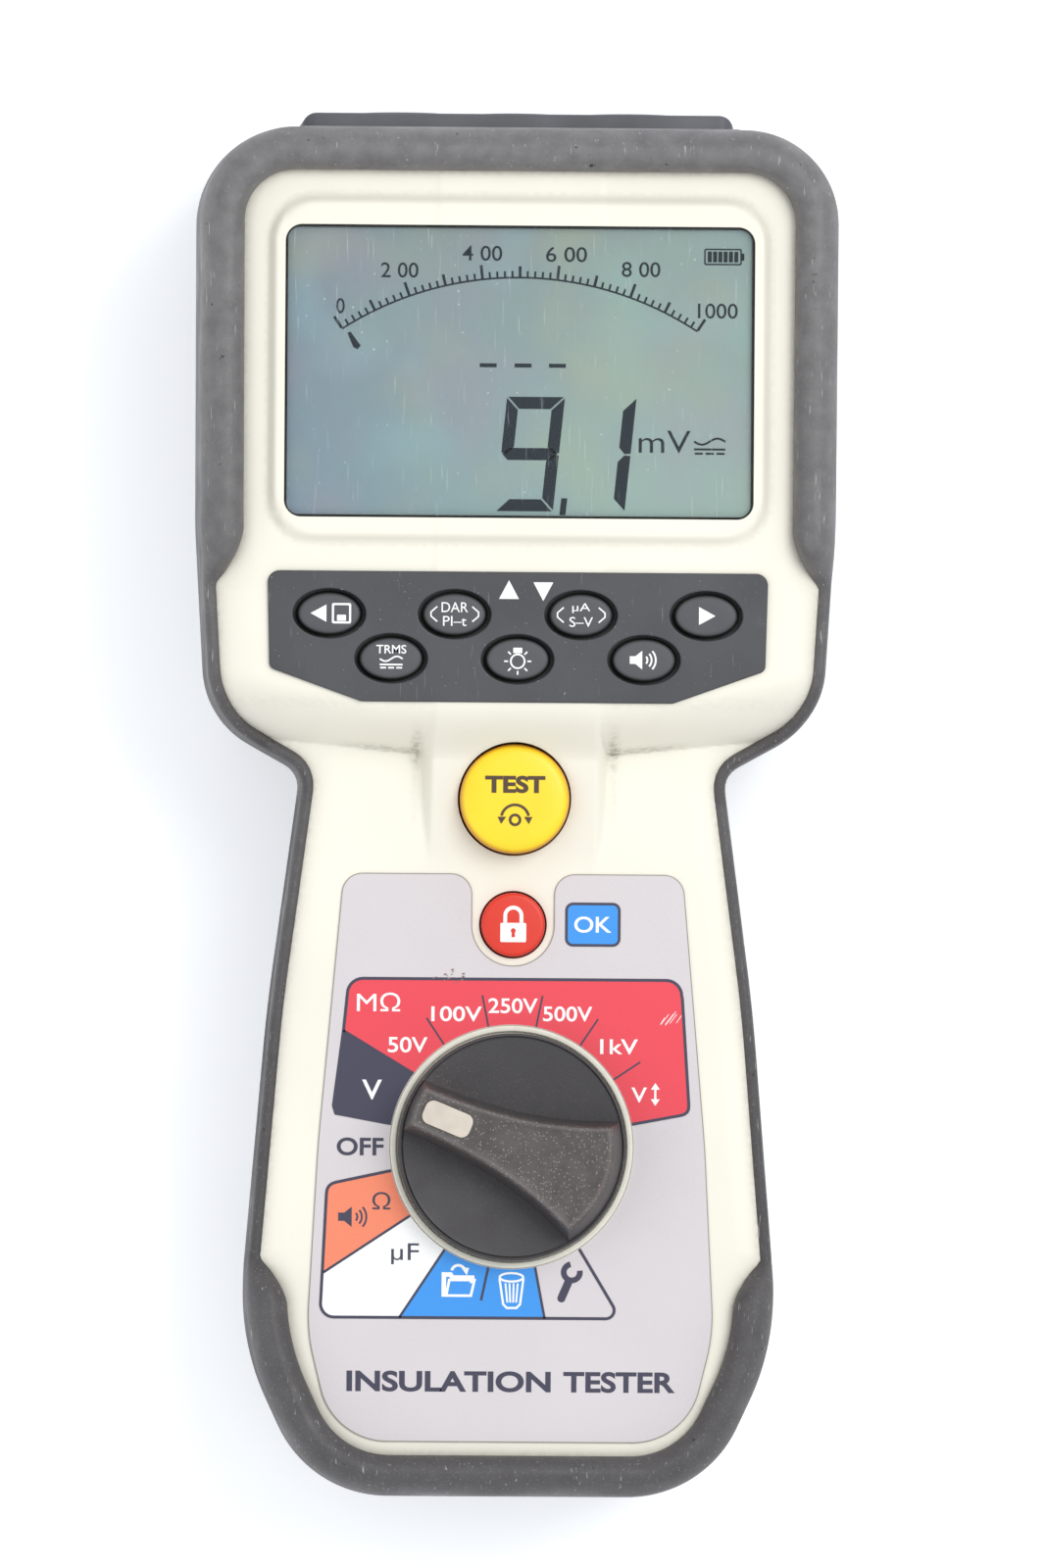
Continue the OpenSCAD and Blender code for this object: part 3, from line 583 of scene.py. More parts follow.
def cream_abs():
    """Moulded ABS with a fine spark grain: matt and warm, with dirt and painted shade held along the corners,
    creases and edges, and a few dark rub marks on its edges."""
    c = colours()
    material, tree, shader, where = begin("cream_moulded_abs")
    tone = blend(tree, spots(tree, where, 35), rgba(c["cream"], 0.97), rgba(c["cream"], 1.02))
    # The mask carries dirt and painted shade: broken into specks, with a faint even veil of darkening.
    dirt_and_shade = add(tree, "Attribute", attribute_name="grime").outputs["Fac"]
    broken = spots(tree, where, 1.1, 0.38, 0.66, 7.0)
    held = add(tree, "Math", {0: dirt_and_shade, 1: broken}, operation="MULTIPLY").outputs["Value"]
    veil = add(tree, "Math", {0: dirt_and_shade, 1: 0.35}, operation="MULTIPLY").outputs["Value"]
    share = add(tree, "Math", {0: held, 1: veil}, operation="ADD", use_clamp=True).outputs["Value"]
    marks = add(tree, "TexNoise", {"Vector": where, "Scale": 1 / (2.3 * MM), "Detail": 8.0,
                                   "Roughness": 0.65}).outputs["Fac"]
    marks = add(tree, "MapRange", {"Value": marks, "From Min": 0.72, "From Max": 0.78,
                                   "To Max": 0.3}).outputs["Result"]
    share = add(tree, "Math", {0: share, 1: marks}, operation="MAXIMUM").outputs["Value"]
    tree.links.new(blend(tree, share, tone, rgba(c["grime"])), shader.inputs["Base Color"])
    grainy(tree, shader, where, 0.45, 0.01, (0.42, 0.56))
    shader.inputs["Specular IOR Level"].default_value = 0.4
    return material


def bumper_rubber():
    """Overmoulded elastomer: satin dark grey, paler towards the head as painted light and along its crest
    from wear, peppered with fine dust, with a few short pale hairs and dark nicks; the attribute for wear and
    painted light runs from 0 to 1."""
    c = colours()
    material, tree, shader, where = begin("bumper_elastomer")
    # The attribute mixes wear near the crest with painted light: lighter towards the head and darker towards
    # the handle's end.
    worn = add(tree, "Attribute", attribute_name="worn").outputs["Fac"]
    patch = spots(tree, where, 3, 0.3, 0.7, 8.0)
    patch = add(tree, "MapRange", {"Value": patch, "To Min": 0.65}).outputs["Result"]
    share = add(tree, "Math", {0: worn, 1: patch}, operation="MULTIPLY").outputs["Value"]
    tone = blend(tree, share, rgba(c["rubber"]), rgba(c["rubber_worn"]))
    pepper = add(tree, "TexNoise", {"Vector": where, "Scale": 1 / (0.5 * MM), "Detail": 4.0,
                                    "Roughness": 0.7}).outputs["Fac"]
    pepper = add(tree, "MapRange", {"Value": pepper, "From Min": 0.56, "From Max": 0.74,
                                    "To Max": 0.34}).outputs["Result"]
    tone = blend(tree, pepper, tone, rgba(c["rubber_worn"], 1.7))
    for turn, low in ((0.5, 0.69), (-0.7, 0.70)):
        line = add(tree, "Mapping", {"Vector": where, "Scale": (1.0, 0.12, 1.0), "Rotation": (0, 0, turn)})
        hair = add(tree, "TexNoise", {"Vector": line.outputs["Vector"], "Scale": 1 / (0.55 * MM),
                                      "Detail": 2.0}).outputs["Fac"]
        hair = add(tree, "MapRange", {"Value": hair, "From Min": low, "From Max": low + 0.05,
                                      "To Max": 0.55}).outputs["Result"]
        tone = blend(tree, hair, tone, rgba(c["rubber_worn"], 2.6))
    nick = spots(tree, where, 1.3, 0.70, 0.76, 4.0)
    tone = blend(tree, nick, tone, rgba(c["rubber"], 0.4))
    tree.links.new(tone, shader.inputs["Base Color"])
    grainy(tree, shader, where, 0.35, 0.03, (0.45, 0.68))
    return material


def textured_rear():
    """Moulded ABS with a coarse spark texture: near-black grey that scatters small glints."""
    c = colours()
    material, tree, shader, where = begin("rear_spark_textured_abs")
    grain = grainy(tree, shader, where, 0.6, 0.06, (0.5, 0.7))
    tone = blend(tree, grain, rgba(c["rear"], 0.8), rgba(c["rear"], 1.25))
    tree.links.new(tone, shader.inputs["Base Color"])
    return material


def overlay_film():
    """Polyester overlay, printed on its back and finely frosted: an even light grey with a faint
    speckle and a soft sheen."""
    c = colours()
    material, tree, shader, where = begin("label_frosted_polyester")
    speck = add(tree, "TexNoise", {"Vector": where, "Scale": 1 / (0.32 * MM), "Detail": 2.0}).outputs["Fac"]
    tone = blend(tree, speck, rgba(c["label"], 0.93), rgba(c["label"], 1.07))
    tone = blend(tree, spots(tree, where, 30), tone, rgba(c["label"], 1.04))
    tree.links.new(tone, shader.inputs["Base Color"])
    grainy(tree, shader, where, 0.4, 0.006, (0.34, 0.45))
    return material


def ink(name, colour, rough=0.42, gloss=0.5):
    """Screen-printed ink: flat colour with the overlay's faint speckle."""
    material, tree, shader, where = begin(name)
    speck = add(tree, "TexNoise", {"Vector": where, "Scale": 1 / (0.32 * MM), "Detail": 2.0}).outputs["Fac"]
    tone = blend(tree, speck, rgba(colour, 0.94), rgba(colour, 1.06))
    tree.links.new(tone, shader.inputs["Base Color"])
    shader.inputs["Roughness"].default_value = rough
    shader.inputs["Specular IOR Level"].default_value = gloss
    return material


def sparkle_grip():
    """Glass-filled nylon with a worn spark texture: a warm charcoal strewn with pale glints painted as
    highlights, and wear with a painted highlight along the grip's crown.
    """
    c = colours()
    material, tree, shader, where = begin("grip_glass_filled_nylon")
    # Pale glints: painted highlights of the spark texture, laid where the dusty attribute is set.
    cells = add(tree, "TexVoronoi", {"Vector": where, "Scale": 1 / (0.42 * MM), "Randomness": 1.0})
    glint = add(tree, "MapRange", {"Value": cells.outputs["Distance"], "From Min": 0.14,
                                   "From Max": 0.36, "To Min": 1.0, "To Max": 0.0}).outputs["Result"]
    chosen = add(tree, "SeparateColor", {"Color": cells.outputs["Color"]}).outputs["Red"]
    chosen = add(tree, "MapRange", {"Value": chosen, "From Min": 0.38, "From Max": 0.62}).outputs["Result"]
    dust = add(tree, "Attribute", attribute_name="dusty").outputs["Fac"]
    glint = add(tree, "Math", {0: glint, 1: chosen}, operation="MULTIPLY").outputs["Value"]
    glint = add(tree, "Math", {0: glint, 1: dust}, operation="MULTIPLY").outputs["Value"]
    tone = blend(tree, spots(tree, where, 2.5, 0.3, 0.7, 6.0), rgba(c["grip"], 0.78), rgba(c["grip"], 1.25))
    tone = blend(tree, dust, rgba(c["knob"]), tone)
    # Lighter crown of the grip: wear and a painted highlight.
    rub = add(tree, "Attribute", attribute_name="rub").outputs["Fac"]
    tone = blend(tree, rub, tone, rgba(c["grip"], 2.4))
    tree.links.new(blend(tree, glint, tone, rgba(c["grip"], 4.2)), shader.inputs["Base Color"])
    grainy(tree, shader, where, 0.35, 0.03, (0.42, 0.6))
    return material


def liquid_crystal():
    """Liquid crystal display on its reflector: a grey-green ground that drifts to blue at its
    upper left, with weak violet and yellow interference patches and small specks."""
    c = colours()
    material, tree, shader, where = begin("display_liquid_crystal")
    place = add(tree, "SeparateXYZ", {"Vector": where}).outputs
    across = add(tree, "MapRange", {"Value": place["X"], "From Min": -0.039,
                                    "From Max": 0.02}).outputs["Result"]
    tone = blend(tree, across, rgba(to_linear("#778c98")), rgba(c["glass"]))
    up = add(tree, "MapRange", {"Value": place["Y"], "From Min": (WINDOW_Y - 24) * MM,
                                "From Max": (WINDOW_Y + 24) * MM}).outputs["Result"]
    upper = add(tree, "Math", {0: up, 1: 0.55}, operation="MULTIPLY").outputs["Value"]
    tone = blend(tree, upper, tone, rgba(to_linear("#7c8584")))
    for size, hue, low, share in ((16, "#9b8b9a", 0.5, 0.24), (13, "#86a6b0", 0.5, 0.32),
                                  (19, "#a1a684", 0.5, 0.3), (24, "#93b59f", 0.5, 0.3)):
        moved = add(tree, "Mapping", {"Vector": where, "Location": (size * MM, 0.3, 0)}).outputs["Vector"]
        patch = add(tree, "TexNoise", {"Vector": moved, "Scale": 1 / (size * MM),
                                       "Detail": 1.5}).outputs["Fac"]
        patch = add(tree, "MapRange", {"Value": patch, "From Min": low, "From Max": 0.72,
                                       "To Max": share}).outputs["Result"]
        tone = blend(tree, patch, tone, rgba(to_linear(hue)))
    speck = spots(tree, where, 0.7, 0.69, 0.76, 3.0)
    tone = blend(tree, speck, tone, rgba(to_linear("#b9c4c4")))
    line = add(tree, "Mapping", {"Vector": where, "Scale": (1.0, 0.05, 1.0), "Rotation": (0, 0, -0.8)})
    hair = add(tree, "TexNoise", {"Vector": line.outputs["Vector"], "Scale": 1 / (0.45 * MM),
                                  "Detail": 2.0}).outputs["Fac"]
    hair = add(tree, "MapRange", {"Value": hair, "From Min": 0.68, "From Max": 0.76,
                                  "To Max": 0.3}).outputs["Result"]
    tone = blend(tree, hair, tone, rgba(to_linear("#c2cccb")))
    tree.links.new(tone, shader.inputs["Base Color"])
    shader.inputs["Roughness"].default_value = 0.5
    shader.inputs["Specular IOR Level"].default_value = 0.1
    return material


def clear_lens():
    """Cast polycarbonate window: almost clear, with the glossy skin's reflections, which thicken
    where it is finely scratched."""
    material, tree, shader, where = begin("lens_polycarbonate")
    line = add(tree, "Mapping", {"Vector": where, "Scale": (1.0, 0.06, 1.0), "Rotation": (0, 0, 0.7)})
    hair = add(tree, "TexNoise", {"Vector": line.outputs["Vector"], "Scale": 1 / (0.5 * MM),
                                  "Detail": 3.0}).outputs["Fac"]
    hair = add(tree, "MapRange", {"Value": hair, "From Min": 0.66, "From Max": 0.74,
                                  "To Min": 0.015, "To Max": 0.16}).outputs["Result"]
    tree.links.new(hair, shader.inputs["Alpha"])
    shader.inputs["Base Color"].default_value = (0.75, 0.8, 0.82, 1)
    shader.inputs["Roughness"].default_value = 0.08
    shader.inputs["Specular IOR Level"].default_value = 0.3
    shader.inputs["IOR"].default_value = 1.58
    return material


def scuffed_panel():
    """Moulded ABS plate: satin dark grey with fine pale scratches both ways and dust specks."""
    c = colours()
    material, tree, shader, where = begin("key_panel_moulded_abs")
    tone = blend(tree, spots(tree, where, 14), rgba(c["panel"], 0.9), rgba(c["panel"], 1.12))
    for turn, low in ((0.35, 0.70), (-0.9, 0.71)):
        line = add(tree, "Mapping", {"Vector": where, "Scale": (1.0, 0.07, 1.0), "Rotation": (0, 0, turn)})
        hair = add(tree, "TexNoise", {"Vector": line.outputs["Vector"], "Scale": 1 / (0.4 * MM),
                                      "Detail": 2.0}).outputs["Fac"]
        hair = add(tree, "MapRange", {"Value": hair, "From Min": low, "From Max": low + 0.06,
                                      "To Max": 0.5}).outputs["Result"]
        tone = blend(tree, hair, tone, rgba(c["panel"], 3.2))
    tone = blend(tree, spots(tree, where, 0.5, 0.71, 0.76, 3.0), tone, rgba(c["panel"], 5.0))
    tree.links.new(tone, shader.inputs["Base Color"])
    grainy(tree, shader, where, 0.4, 0.015, (0.4, 0.55))
    return material


def shade_edged(name, colour, rim_shade_colour, rough, grain_mm, depth_mm, vary):
    """Moulded part whose edge attribute blends in a darker colour, as painted shade on its rim and sides."""
    material, tree, shader, where = begin(name)
    tone = blend(tree, spots(tree, where, 9), rgba(colour, 1 - vary), rgba(colour, 1 + vary))
    edge = add(tree, "Attribute", attribute_name="edge").outputs["Fac"]
    tree.links.new(blend(tree, edge, tone, rgba(rim_shade_colour)), shader.inputs["Base Color"])
    grainy(tree, shader, where, grain_mm, depth_mm, rough)
    return material


def solder_mask():
    """Glass-epoxy board under green solder mask: blocks of two greens in rows, with darker green
    between them where there is no copper."""
    material, tree, shader, where = begin("board_green_solder_mask")
    brick = add(tree, "TexBrick", {"Vector": where, "Scale": 60.0, "Mortar Size": 0.03,
                                   "Color1": rgba(to_linear("#0f5a34")), "Color2": rgba(to_linear("#14683d")),
                                   "Mortar": rgba(to_linear("#0a3d24"))})
    tree.links.new(brick.outputs["Color"], shader.inputs["Base Color"])
    grainy(tree, shader, where, 0.8, 0.01, (0.25, 0.4))
    return material


def cell_sleeve():
    """Shrink sleeve on an alkaline cell: satin orange-brown along half its length, black on the
    rest, by rings along Y."""
    material, tree, shader, where = begin("cell_shrink_sleeve")
    wave = add(tree, "TexWave", {"Vector": where, "Scale": 6.2, "Distortion": 0.0}, bands_direction="Y")
    share = add(tree, "MapRange", {"Value": wave.outputs["Fac"], "From Min": 0.45,
                                   "From Max": 0.5}).outputs["Result"]
    tone = blend(tree, share, rgba(to_linear("#b5712a")), rgba(to_linear("#1d1c1e")))
    tree.links.new(tone, shader.inputs["Base Color"])
    grainy(tree, shader, where, 0.5, 0.004, (0.22, 0.32))
    return material


def pale_ground():
    """Plain white board: faint drift in tone, no gloss."""
    material, tree, shader, where = begin("backdrop_white_board")
    tone = blend(tree, spots(tree, where, 120), (0.86, 0.865, 0.88, 1), (0.9, 0.905, 0.915, 1))
    tree.links.new(tone, shader.inputs["Base Color"])
    shader.inputs["Roughness"].default_value = 0.9
    shader.inputs["Emission Color"].default_value = (0.95, 0.97, 1, 1)
    shader.inputs["Emission Strength"].default_value = 0.38
    return material


# Slot: colour, roughness, grain and depth in mm, variation, metallic. The comments name each
# real material and what it gives the eye.
PLAIN = {
    "black_seal": ("#1d1d1e", (0.6, 0.75), 0.4, 0.02, 0.12, 0),  # moulded nitrile, dull
    "steel_screws": ("#b4b5b8", (0.25, 0.42), 0.3, 0.004, 0.08, 1),  # zinc-plated steel, soft shine
    "white_plastic": ("#deddd6", (0.4, 0.5), 0.6, 0.01, 0.04, 0),  # moulded acetal, waxy
    "zebra_rubber": ("#c98c94", (0.5, 0.6), 0.3, 0.01, 0.15, 0),  # layered silicone, banded
    "black_plastic": ("#1b1b1d", (0.3, 0.45), 0.5, 0.01, 0.12, 0),  # moulded PBT, satin
    "contact_metal": ("#d9b45a", (0.18, 0.3), 0.4, 0.003, 0.06, 1),  # gold-flashed bronze, bright
    "relay_blue": ("#2c4f9a", (0.35, 0.45), 0.5, 0.008, 0.06, 0),  # moulded polyester, satin
    "transformer_yellow": ("#caa33c", (0.3, 0.4), 0.7, 0.02, 0.1, 0),  # wound polyester tape
    "capacitor_red": ("#a8462e", (0.2, 0.3), 0.9, 0.01, 0.08, 0),  # dipped epoxy, glossy
    "block_plastic": ("#5b5b60", (0.42, 0.58), 0.5, 0.02, 0.12, 0),  # moulded polyamide, satin
    "socket_red": ("#c3202b", (0.3, 0.4), 0.5, 0.006, 0.06, 0),  # moulded polyamide, satin
    "fuse_ceramic": ("#e3dccb", (0.45, 0.6), 0.5, 0.01, 0.05, 0),  # unglazed ceramic, chalky
    "spring_steel": ("#c2c3c6", (0.2, 0.32), 0.25, 0.003, 0.05, 1),  # drawn wire, bright
    "plate_foil": ("#b9babd", (0.3, 0.42), 0.3, 0.004, 0.05, 1),  # satin aluminium foil
}
_made = {}


def finish(slot):
    """The shared material of a record slot, made once."""
    special = {"cream_shell": cream_abs, "bumper_rubber": bumper_rubber, "rear_plastic": textured_rear,
               "label": overlay_film, "knob_plastic": sparkle_grip, "lcd": liquid_crystal,
               "clear_lens": clear_lens, "key_panel": scuffed_panel, "circuit_board": solder_mask,
               "cell_sleeve": cell_sleeve}
    if slot not in _made:
        c = colours()
        if slot in special:
            _made[slot] = special[slot]()
        elif slot == "key_rubber":  # moulded silicone, satin; its rim and sides darkened to near black as painted shade
            _made[slot] = shade_edged("key_moulded_silicone", c["key"], to_linear("#161617"), (0.5, 0.65), 0.4,
                                   0.012, 0.1)
        elif slot == "marker_white":  # painted inlay, a little soiled
            _made[slot] = plastic("marker_paint", c["marker"], (0.35, 0.5), 0.8, 0.01, 0.06, blotch_mm=3)
        elif slot == "test_yellow":  # moulded ABS, satin
            # Its rim and side take the deeper yellow as painted shade.
            _made[slot] = shade_edged("test_button_moulded_abs", c["test"], c["test_rim"], (0.32, 0.42), 0.5,
                                   0.006, 0.03)
        elif slot == "lock_red":  # moulded ABS, satin
            _made[slot] = plastic("lock_button_moulded_abs", c["lock"], (0.35, 0.45), 0.4, 0.01, 0.06)
        else:
            hex_colour, rough, grain, depth, vary, metallic = PLAIN[slot]
            _made[slot] = plastic(slot, to_linear(hex_colour), rough, grain, depth, vary, metallic)
    return _made[slot]


# ---- pieces ----

def value_attribute(piece, name, values):
    """Stores one number per vertex for a material to read."""
    attribute = piece.data.attributes.new(name, "FLOAT", "POINT")
    attribute.data.foreach_set("value", np.ascontiguousarray(values, np.float32))


def vertices_mm(piece):
    """Vertex positions in millimetres."""
    spots_m = np.empty(len(piece.data.vertices) * 3)
    piece.data.vertices.foreach_get("co", spots_m)
    return spots_m.reshape(-1, 3) / MM


def key_centres():
    """Name and centre of each oval key, from the CAD."""
    names = ["key_store", "key_ratio", "key_current", "key_next", "key_true_rms", "key_backlight",
             "key_buzzer"]
    return {name: middle_mm(name)[:2] for name in names}


def build_front_shell():
    """The cream shell: a grid over the face's outline, x = s times the half width at y, at the
    height of face_height, with a wall down to the seam and the same grid inside, wall below."""
    s = sizes()
    loop = face_loop(-0.3)
    right = loop[(loop[:, 0] > 0)]
    right = right[np.argsort(right[:, 1])]
    low, high = loop[:, 1].min() + 1e-3, loop[:, 1].max() - 1e-3
    spans = [(-86, -73, 20), (-73, -12, 24), (-12, 5, 34), (5, 20, 46), (20, 35, 22), (35, 47, 26),
             (47, 90, 24)]
    dense = 1 - np.cos(np.linspace(0, np.pi / 2, 34, endpoint=False))
    rows = np.concatenate([low + (-86 - low) * dense]
                          + [np.linspace(a, b, n, endpoint=False) for a, b, n in spans]
                          + [(high - (high - 90) * np.append(dense, 1))[::-1]])
    half_spans = [(0, 0.26, 7), (0.26, 0.53, 26), (0.53, 0.85, 13), (0.85, 1, 20)]
    half = np.concatenate([np.linspace(a, b, n, endpoint=False) for a, b, n in half_spans] + [[1]])
    columns = np.concatenate([-half[:0:-1], half])

    def layer(thick):
        y = np.clip(rows, low + thick, high - thick)
        width = np.interp(np.clip(rows, low, high), right[:, 1], right[:, 0]) - thick
        x = columns[None, :] * width[:, None]
        y = np.broadcast_to(y[:, None], x.shape)
        gap = distance_to(loop, x, y) if thick == 0 else np.full(x.shape, 2.0)
        return np.stack([x, y, face_height(x, y, gap) - thick], -1)

    n, m = len(rows), len(columns)
    number = np.arange(n * m).reshape(n, m)
    rim = np.concatenate([number[0, :-1], number[:-1, -1], number[-1, :0:-1], number[:0:-1, 0]])
    top, under = layer(0), layer(s["wall"])
    faces = grid_quads(n, m)
    outer_foot = top.reshape(-1, 3)[rim] * [1, 1, 0] + [0, 0, SEAM_Z]
    inner_foot = under.reshape(-1, 3)[rim] * [1, 1, 0] + [0, 0, SEAM_Z]
    points = np.vstack([top.reshape(-1, 3), under.reshape(-1, 3), outer_foot, inner_foot])
    total, k = n * m, len(rim)
    outer, inner = 2 * total + np.arange(k), 2 * total + k + np.arange(k)
    on = np.roll(np.arange(k), -1)
    walls = [np.column_stack([outer, outer[on], rim[on], rim]),
             np.column_stack([inner, inner[on], outer[on], outer]),
             np.column_stack([total + rim, total + rim[on], inner[on], inner])]
    shell = solid("front_shell_cream", points,
                  np.vstack([faces, (faces + total)[:, ::-1]] + walls).tolist())
    cutters = [prism("c", box_loop((78, 48.6), 2.8, (0, WINDOW_Y)), HEAD_Z - 9, HEAD_Z + 9),
               prism("c", oval_loop(s["test_r"] + 0.35, s["test_r"] + 0.35, (0, TEST_Y), 128), 35, 60),
               prism("c", oval_loop(s["lock_r"] + 0.35, s["lock_r"] + 0.35, (0, LOCK_Y), 96), 35, 60),
               prism("c", oval_loop(4.2, 4.2, (0, KNOB_Y)), 35, 60),
               prism("c", box_loop((BLOCK_HIGH[0] * 2 + 0.2, 40), 1, (0, BLOCK_LOW[1] + 20)), 20,
                     BLOCK_HIGH[2] + 0.1)]
    for x, y in key_centres().values():
        cutters.append(prism("c", oval_loop(s["key_x"] / 2 + 0.95, s["key_y"] / 2 + 0.75, (x, y)), 50, 65))
    carve(shell, cutters)
    at = vertices_mm(shell)
    x, y = at[:, 0], at[:, 1]
    side = np.abs(x)
    foot = 8.2 + 0.10 * np.maximum(side - 16, 0)
    # Darkening mask for the cream: painted shade at the foot of the slope (crease), along the edge beside the
    # bumper (edge), at the foot of the bezel (bezel) and round the test button's hole (ring); dirt specks at
    # the ramp's top corners (corner) and along the feet of its side walls (wall_foot); a faint darker line
    # along the crest (crest).
    crease = (0.34 * np.exp(-((y - foot - 0.3) / 0.5) ** 2)
              * smooth((side - 15.5) / 2) * smooth((32 - side) / 10))
    corner = 0.42 * np.exp(-(((side - 16.4) / 0.8) ** 2 + ((y - 9) / 2.6) ** 2))
    wall_foot = 0.07 * np.exp(-((side - 16.6) / 0.5) ** 2) * smooth((y + 6) / 6) * smooth((10 - y) / 2)
    edge = 0.16 * np.exp(-(distance_to(loop, x, y) - 0.3) / 0.5)
    bezel = 0.07 * np.exp(-((inside_box(x, y, (42, 29.1), WINDOW_Y + 0.4, 8) + 0.2) / 0.35) ** 2)
    crest = 0.05 * np.exp(-((y - 16.6) / 1.2) ** 2) * smooth((side - 14) / 3)
    ring = 0.12 * np.exp(-((np.hypot(x, y - TEST_Y) - s["test_r"] - 0.3) / 0.5) ** 2)
    value_attribute(shell, "grime", np.clip(crease + corner + wall_foot + edge + bezel + crest + ring, 0, 1))
    finish_piece(shell, finish("cream_shell"), replaces=("front_shell",), angle=38)


def build_bumper():
    """The rubber bumper: one closed section carried round the case's outline. The section climbs
    the outside, where four finger grooves follow the neck, crosses the crest on two elliptical
    quarters and comes down to the shell's shoulder; its width, height and quarters follow
    fullness."""
    f = fullness(EDGE[:, 1])
    height = smooth(f)
    x, y = EDGE[:, 0], EDGE[:, 1]
    width = band_width(y)
    inner = EDGE + EDGE_IN * width[:, None]
    base = ground(inner[:, 0], inner[:, 1])
    rim_z = base - 0.62 * roll_off(y, 0 * y)
    full_z = np.where(y > 0, CREST_Z, 50.5)
    crest = rim_z + (full_z - rim_z) * height
    out_w, out_h = 4.2 * f + 1.3 * (1 - f), 5.6 * f + 1.5 * (1 - f)
    in_w, in_h = 3.1 * f + 1.1 * (1 - f), 3.8 * f + 1.2 * (1 - f)
    shelf = base - 8
    block_half = BLOCK_HIGH[0] + 0.4
    over_block = (y > TOP_Y - 0.3) & (np.abs(x) < block_half)
    low = np.where(over_block, BLOCK_HIGH[2] + 0.1, RUBBER_Z)
    climb = np.linspace(0, 1, 44)[:, None]
    across = np.linspace(0, 1, 14)[:, None] * np.pi / 2
    wall_top = crest - out_h
    belly = 0.35 * np.sin(np.pi * climb)
    flank = smooth((y + 62) / 8) * smooth((4 - y) / 8) * (np.abs(x) > 20)
    grooves = sum(np.exp(-((climb - at) / 0.035) ** 2) for at in (0.26, 0.42, 0.58, 0.74))
    sections = [
        (0.35 - belly + 0.5 * grooves * flank, low + (wall_top - low) * climb),
        (0.35 * np.cos(across) + out_w - out_w * np.cos(across) + 0.0 * y, wall_top + out_h * np.sin(across)),
        (width - in_w + in_w * np.sin(across), crest - in_h * (1 - np.cos(across))),
        (np.stack([width, width, 0 * y + 2.2, 0 * y + 2.2]),
         np.stack([(crest - in_h + shelf) / 2, shelf, shelf, low]))]
    inset = np.vstack([a for a, _ in sections])
    z = np.vstack([np.broadcast_to(b, a.shape) for a, b in sections])
    spot = EDGE[None] + EDGE_IN[None] * inset[..., None]
    points = np.concatenate([spot, z[..., None]], -1)
    rows, columns = inset.shape
    bumper = solid("bumper_rubber", points.reshape(-1, 3),
                   grid_quads(rows, columns, True, True).tolist(), weld=True)
    # Wear near the crest, plus painted light: the rubber gets paler towards the head and darker towards the
    # handle's end.
    at = vertices_mm(bumper)
    level = np.where(at[:, 1] > 0, CREST_Z, 50.5) - 1.5
    near = 0.35 * np.exp(-np.maximum(0, level - at[:, 2]) / 6)
    value_attribute(bumper, "worn", np.clip(near + 0.65 * smooth((at[:, 1] + 80) / 190), 0, 1))
    finish_piece(bumper, finish("bumper_rubber"), replaces=("bumper",), angle=42)


def build_rear_shell():
    """The rear shell: a profile carried round the case's outline, rolled under to a flat back,
    hollowed, and cut for the battery bay, the cover, the stand and the screws."""
    profile = np.array([[2.25, SEAM_Z], [2.25, RUBBER_Z], [0.9, RUBBER_Z], [0.8, 15]]
                       + fillet((0.8, 15), (0.9, BACK_Z + 0.5), (6.8, BACK_Z), 12)[1:])[::-1]

    def sweep(name, section):
        rows, columns = len(section), len(EDGE)
        spot = EDGE[None] + EDGE_IN[None] * section[:, 0][:, None, None]
        z = np.broadcast_to(section[:, 1][:, None], spot.shape[:2])
        points = np.concatenate([spot, z[..., None]], -1).reshape(-1, 3)
        last = (rows - 1) * columns
        faces = grid_quads(rows, columns, close_columns=True).tolist()
        return solid(name, points, faces + [list(range(columns))[::-1], list(range(last, last + columns))])

    shell = sweep("rear_shell_grey", profile)
    hollow = sweep("h", np.array([[5.0, 6.5], [4.7, 6.8], [4.7, SEAM_Z + 1]]))
    # The cells' bay and the fuse's, each a pocket from below inside a wall.
    wall, pocket_top = 1.5, 20.2
    bays = (((48.4, 105.8), (0, -53.5)), ((9.2, 38), (27.4, -65)))
    pockets = [prism("c", box_loop(bay, 0.4, middle), 0, pocket_top) for bay, middle in bays]
    carve(hollow, [prism("c", box_loop((bay[0] + 2 * wall, bay[1] + 2 * wall), 0.8, middle),
                         5, pocket_top + wall) for bay, middle in bays])
    stand_low, stand_high = box_mm("stand")
    half, top = stand_high[0] + 0.3, stand_high[1]
    cover = EDGE + EDGE_IN * 7.7
    cover = cover[cover[:, 1] < 1.3]
    order = np.argsort(np.arctan2(cover[:, 1] + 55, cover[:, 0]))
    cutters = [hollow] + pockets + [
               prism("c", cover[order], 0, 4.0),
               prism("c", box_loop((16.6, 11.6), 3.2, (0, 4)), 0, 4.0),
               prism("c", box_loop((2 * half, top - stand_low[1] + 0.6), 3.5,
                                   (0, (top + stand_low[1]) / 2)), 0, 4.9),
               prism("c", box_loop((2 * half, 7), 0.6, (0, top - 2.8)), 0, 7.6),
               prism("c", oval_loop(8, 8, (0, stand_low[1] - 2)), 0, 4.9),
               prism("c", oval_loop(1.6, 1.6, (0, 5.6)), 0, 14),
               prism("c", box_loop((BLOCK_HIGH[0] * 2 + 0.2, 40), 1, (0, BLOCK_LOW[1] + 20)),
                     BLOCK_LOW[2] - 0.1, 40)]
    for x in (-43.4, 43.4, -43, 43, -28.9, 28.9):
        y = {43.4: 102, 43: 27, 28.9: -98.5}[abs(x)]
        cutters.append(prism("c", oval_loop(3.1, 3.1, (x, y), 48), 0, 7))
    carve(shell, cutters)
    finish_piece(shell, finish("rear_plastic"), replaces=("rear_shell",), angle=40)


